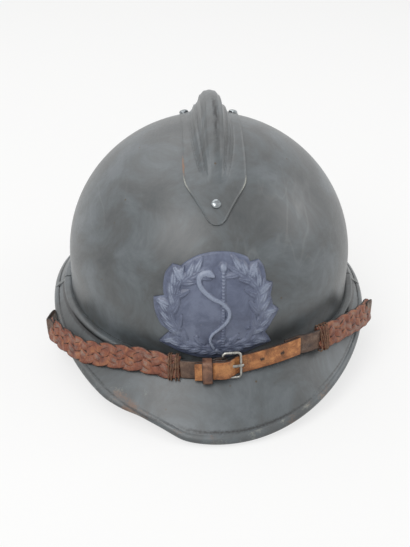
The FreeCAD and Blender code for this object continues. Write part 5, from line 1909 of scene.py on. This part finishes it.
@dataclass
class Studio:
    """A pale floor, soft lamps and the camera of the photograph."""

    place_mm: Point = (-30.339, -543.556, 362.414)
    right: Point = (0.998993486, -0.042626074, 0.013965384)
    up: Point = (0.009966480, 0.514494249, 0.857435909)
    back: Point = (-0.043734236, -0.856433702, 0.514401235)
    focal_px: float = 869.53
    floor_half: float = 12.0
    floor_glow: float = 0.72
    surround: float = 0.42
    lamps: tuple[tuple[str, Point, Point, float, float], ...] = (
        ("window", (-0.55, -0.75, 1.15), (0.0, -0.05, 0.08), 0.9, 9.0),
        ("wall", (1.1, 0.1, 0.75), (0.0, 0.0, 0.1), 0.8, 3.5),
        ("ceiling", (-0.3, 0.55, 1.3), (0.0, 0.0, 0.1), 1.4, 7.0))

    def build(self) -> None:
        """Make everything around the object."""
        self.build_camera()
        self.build_floor()
        self.build_world()
        for lamp in self.lamps:
            self.lamp(*lamp)

    def build_camera(self) -> None:
        """Put the camera where the photograph was taken."""
        data = bpy.data.cameras.new("camera")
        data.sensor_fit = "VERTICAL"
        data.lens_unit = "FOV"
        data.angle = 2 * math.atan(IMAGE_HEIGHT / 2 / self.focal_px)
        data.clip_start, data.clip_end = 0.01, 20.0
        camera = bpy.data.objects.new("camera", data)
        axes = Matrix((self.right, self.up, self.back)).transposed()
        camera.matrix_world = Matrix.Translation(Vector(self.place_mm) * MM) @ axes.to_4x4()
        bpy.context.scene.collection.objects.link(camera)
        bpy.context.scene.camera = camera

    def build_floor(self) -> None:
        """A white floor that keeps the object's shadow and shows as white."""
        bm = bmesh.new()
        bmesh.ops.create_grid(bm, x_segments=2, y_segments=2, size=self.floor_half)
        data = bpy.data.meshes.new("floor")
        bm.to_mesh(data)
        bm.free()
        floor = bpy.data.objects.new("floor", data)
        floor.location.z = -0.0004
        bpy.context.scene.collection.objects.link(floor)
        material = bpy.data.materials.new("white_paper")
        material.use_nodes = True
        tree = material.node_tree
        tree.nodes.clear()
        paper = add_node(tree, "ShaderNodeBsdfDiffuse", None, {"Color": linear("f4f4f2")})
        glow = add_node(tree, "ShaderNodeEmission", None,
                        {"Color": (1, 1, 1, 1), "Strength": 1.0})
        seen = self.seen_by_eye(tree)
        part = add_node(tree, "ShaderNodeMath", {"operation": "MULTIPLY"},
                        {0: seen, 1: self.floor_glow})
        blended = add_node(tree, "ShaderNodeMixShader", None, {
            0: part.outputs[0], 1: paper.outputs[0], 2: glow.outputs[0]})
        add_node(tree, "ShaderNodeOutputMaterial", None, {"Surface": blended.outputs[0]})
        data.materials.append(material)

    @staticmethod
    def seen_by_eye(tree: bpy.types.NodeTree) -> bpy.types.NodeSocket:
        """1 for rays from the camera and for mirrored or refracted ones.

        Args:
            tree: node tree of the material or world.

        Returns:
            The socket that says so.
        """
        path = add_node(tree, "ShaderNodeLightPath")
        both = add_node(tree, "ShaderNodeMath", {"operation": "MAXIMUM"}, {
            0: path.outputs["Is Camera Ray"], 1: path.outputs["Is Glossy Ray"]})
        return add_node(tree, "ShaderNodeMath", {"operation": "MAXIMUM"}, {
            0: both.outputs[0], 1: path.outputs["Is Transmission Ray"]}).outputs[0]

    def build_world(self) -> None:
        """A white surround that lights the object evenly."""
        world = bpy.data.worlds.new("surround")
        world.use_nodes = True
        tree = world.node_tree
        tree.nodes.clear()
        soft = add_node(tree, "ShaderNodeBackground", None,
                        {"Color": linear("f4f4f4"), "Strength": self.surround})
        white = add_node(tree, "ShaderNodeBackground", None,
                         {"Color": (1, 1, 1, 1), "Strength": 1.0})
        both = add_node(tree, "ShaderNodeMixShader", None, {
            0: self.seen_by_eye(tree), 1: soft.outputs[0], 2: white.outputs[0]})
        add_node(tree, "ShaderNodeOutputWorld", None, {"Surface": both.outputs[0]})
        bpy.context.scene.world = world

    def lamp(self, name: str, place: Point, aim: Point, size: float, watts: float) -> None:
        """Add a square soft lamp.

        Args:
            name: name of the lamp.
            place: its place in metres.
            aim: the point it faces.
            size: side of its face in metres.
            watts: its power.
        """
        data = bpy.data.lights.new(name, "AREA")
        data.size = size
        data.energy = watts
        light = bpy.data.objects.new(name, data)
        light.location = place
        way = Vector(aim) - Vector(place)
        light.rotation_euler = way.to_track_quat("-Z", "Y").to_euler()
        bpy.context.scene.collection.objects.link(light)


def dress_cad(nodes: dict[str, bpy.types.Object], names: Sequence[str],
              material: bpy.types.Material) -> None:
    """Give CAD nodes that stay in view their finish.

    Args:
        nodes: the frame's nodes by name.
        names: the nodes to dress.
        material: their finish.
    """
    for name in names:
        nodes[name].data.materials.clear()
        nodes[name].data.materials.append(material)


def main() -> None:
    """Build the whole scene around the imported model."""
    logging.basicConfig(level=logging.INFO, format="%(message)s")
    for thing in list(bpy.data.objects):
        bpy.data.objects.remove(thing)
    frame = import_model()
    bpy.context.scene.view_settings.view_transform = "Standard"

    paint, plate = SLATE.build(), PLATE.build()
    plait, tan, brown, dark = PLAIT.build(), TAN.build(), BROWN.build(), DARK.build()
    wire, sheet_steel, rivet = WIRE.build(), SHEET_STEEL.build(), RIVET.build()
    aluminium, thread = ALUMINIUM.build(), THREAD.build()
    lining, wool, lace = LINING.build(), WOOL.build(), LACE.build()

    dress_cad(frame["nodes"], ("crest_rivet_front", "crest_rivet_rear", "crest_side_rivets"),
              rivet)
    dress_cad(frame["nodes"], ("spacer_front", "spacer_left", "spacer_rear", "spacer_right"),
              aluminium)
    dress_cad(frame["nodes"], ("bail_left", "bail_right", "buckle_frame"), wire)
    dress_cad(frame["nodes"], ("bail_tab_left", "bail_tab_right", "liner_clips"), sheet_steel)

    dome = Dome()
    Bowl(dome).build(paint)
    Brim(dome).build(paint)
    Comb(dome).build(paint)
    FrontPlate(dome).build(plate)
    curve = StrapCurve()
    Plait(curve, "right_plait", -130.2, -20.8).build(
        Piece("right_plait", Body.STRAP, "plait_leather", ("braid_right",)), plait)
    Plait(curve, "left_plait", 71.8, 137.6).build(
        Piece("left_plait", Body.STRAP, "plait_leather", ("braid_left",)), plait)
    Strap(curve).build(tan, brown, dark, wire, thread)
    StrapEnds(curve).build(dark)
    Liner(dome).build(lining, wool, lace)
    Studio().build()


if __name__ == "__main__":
    main()
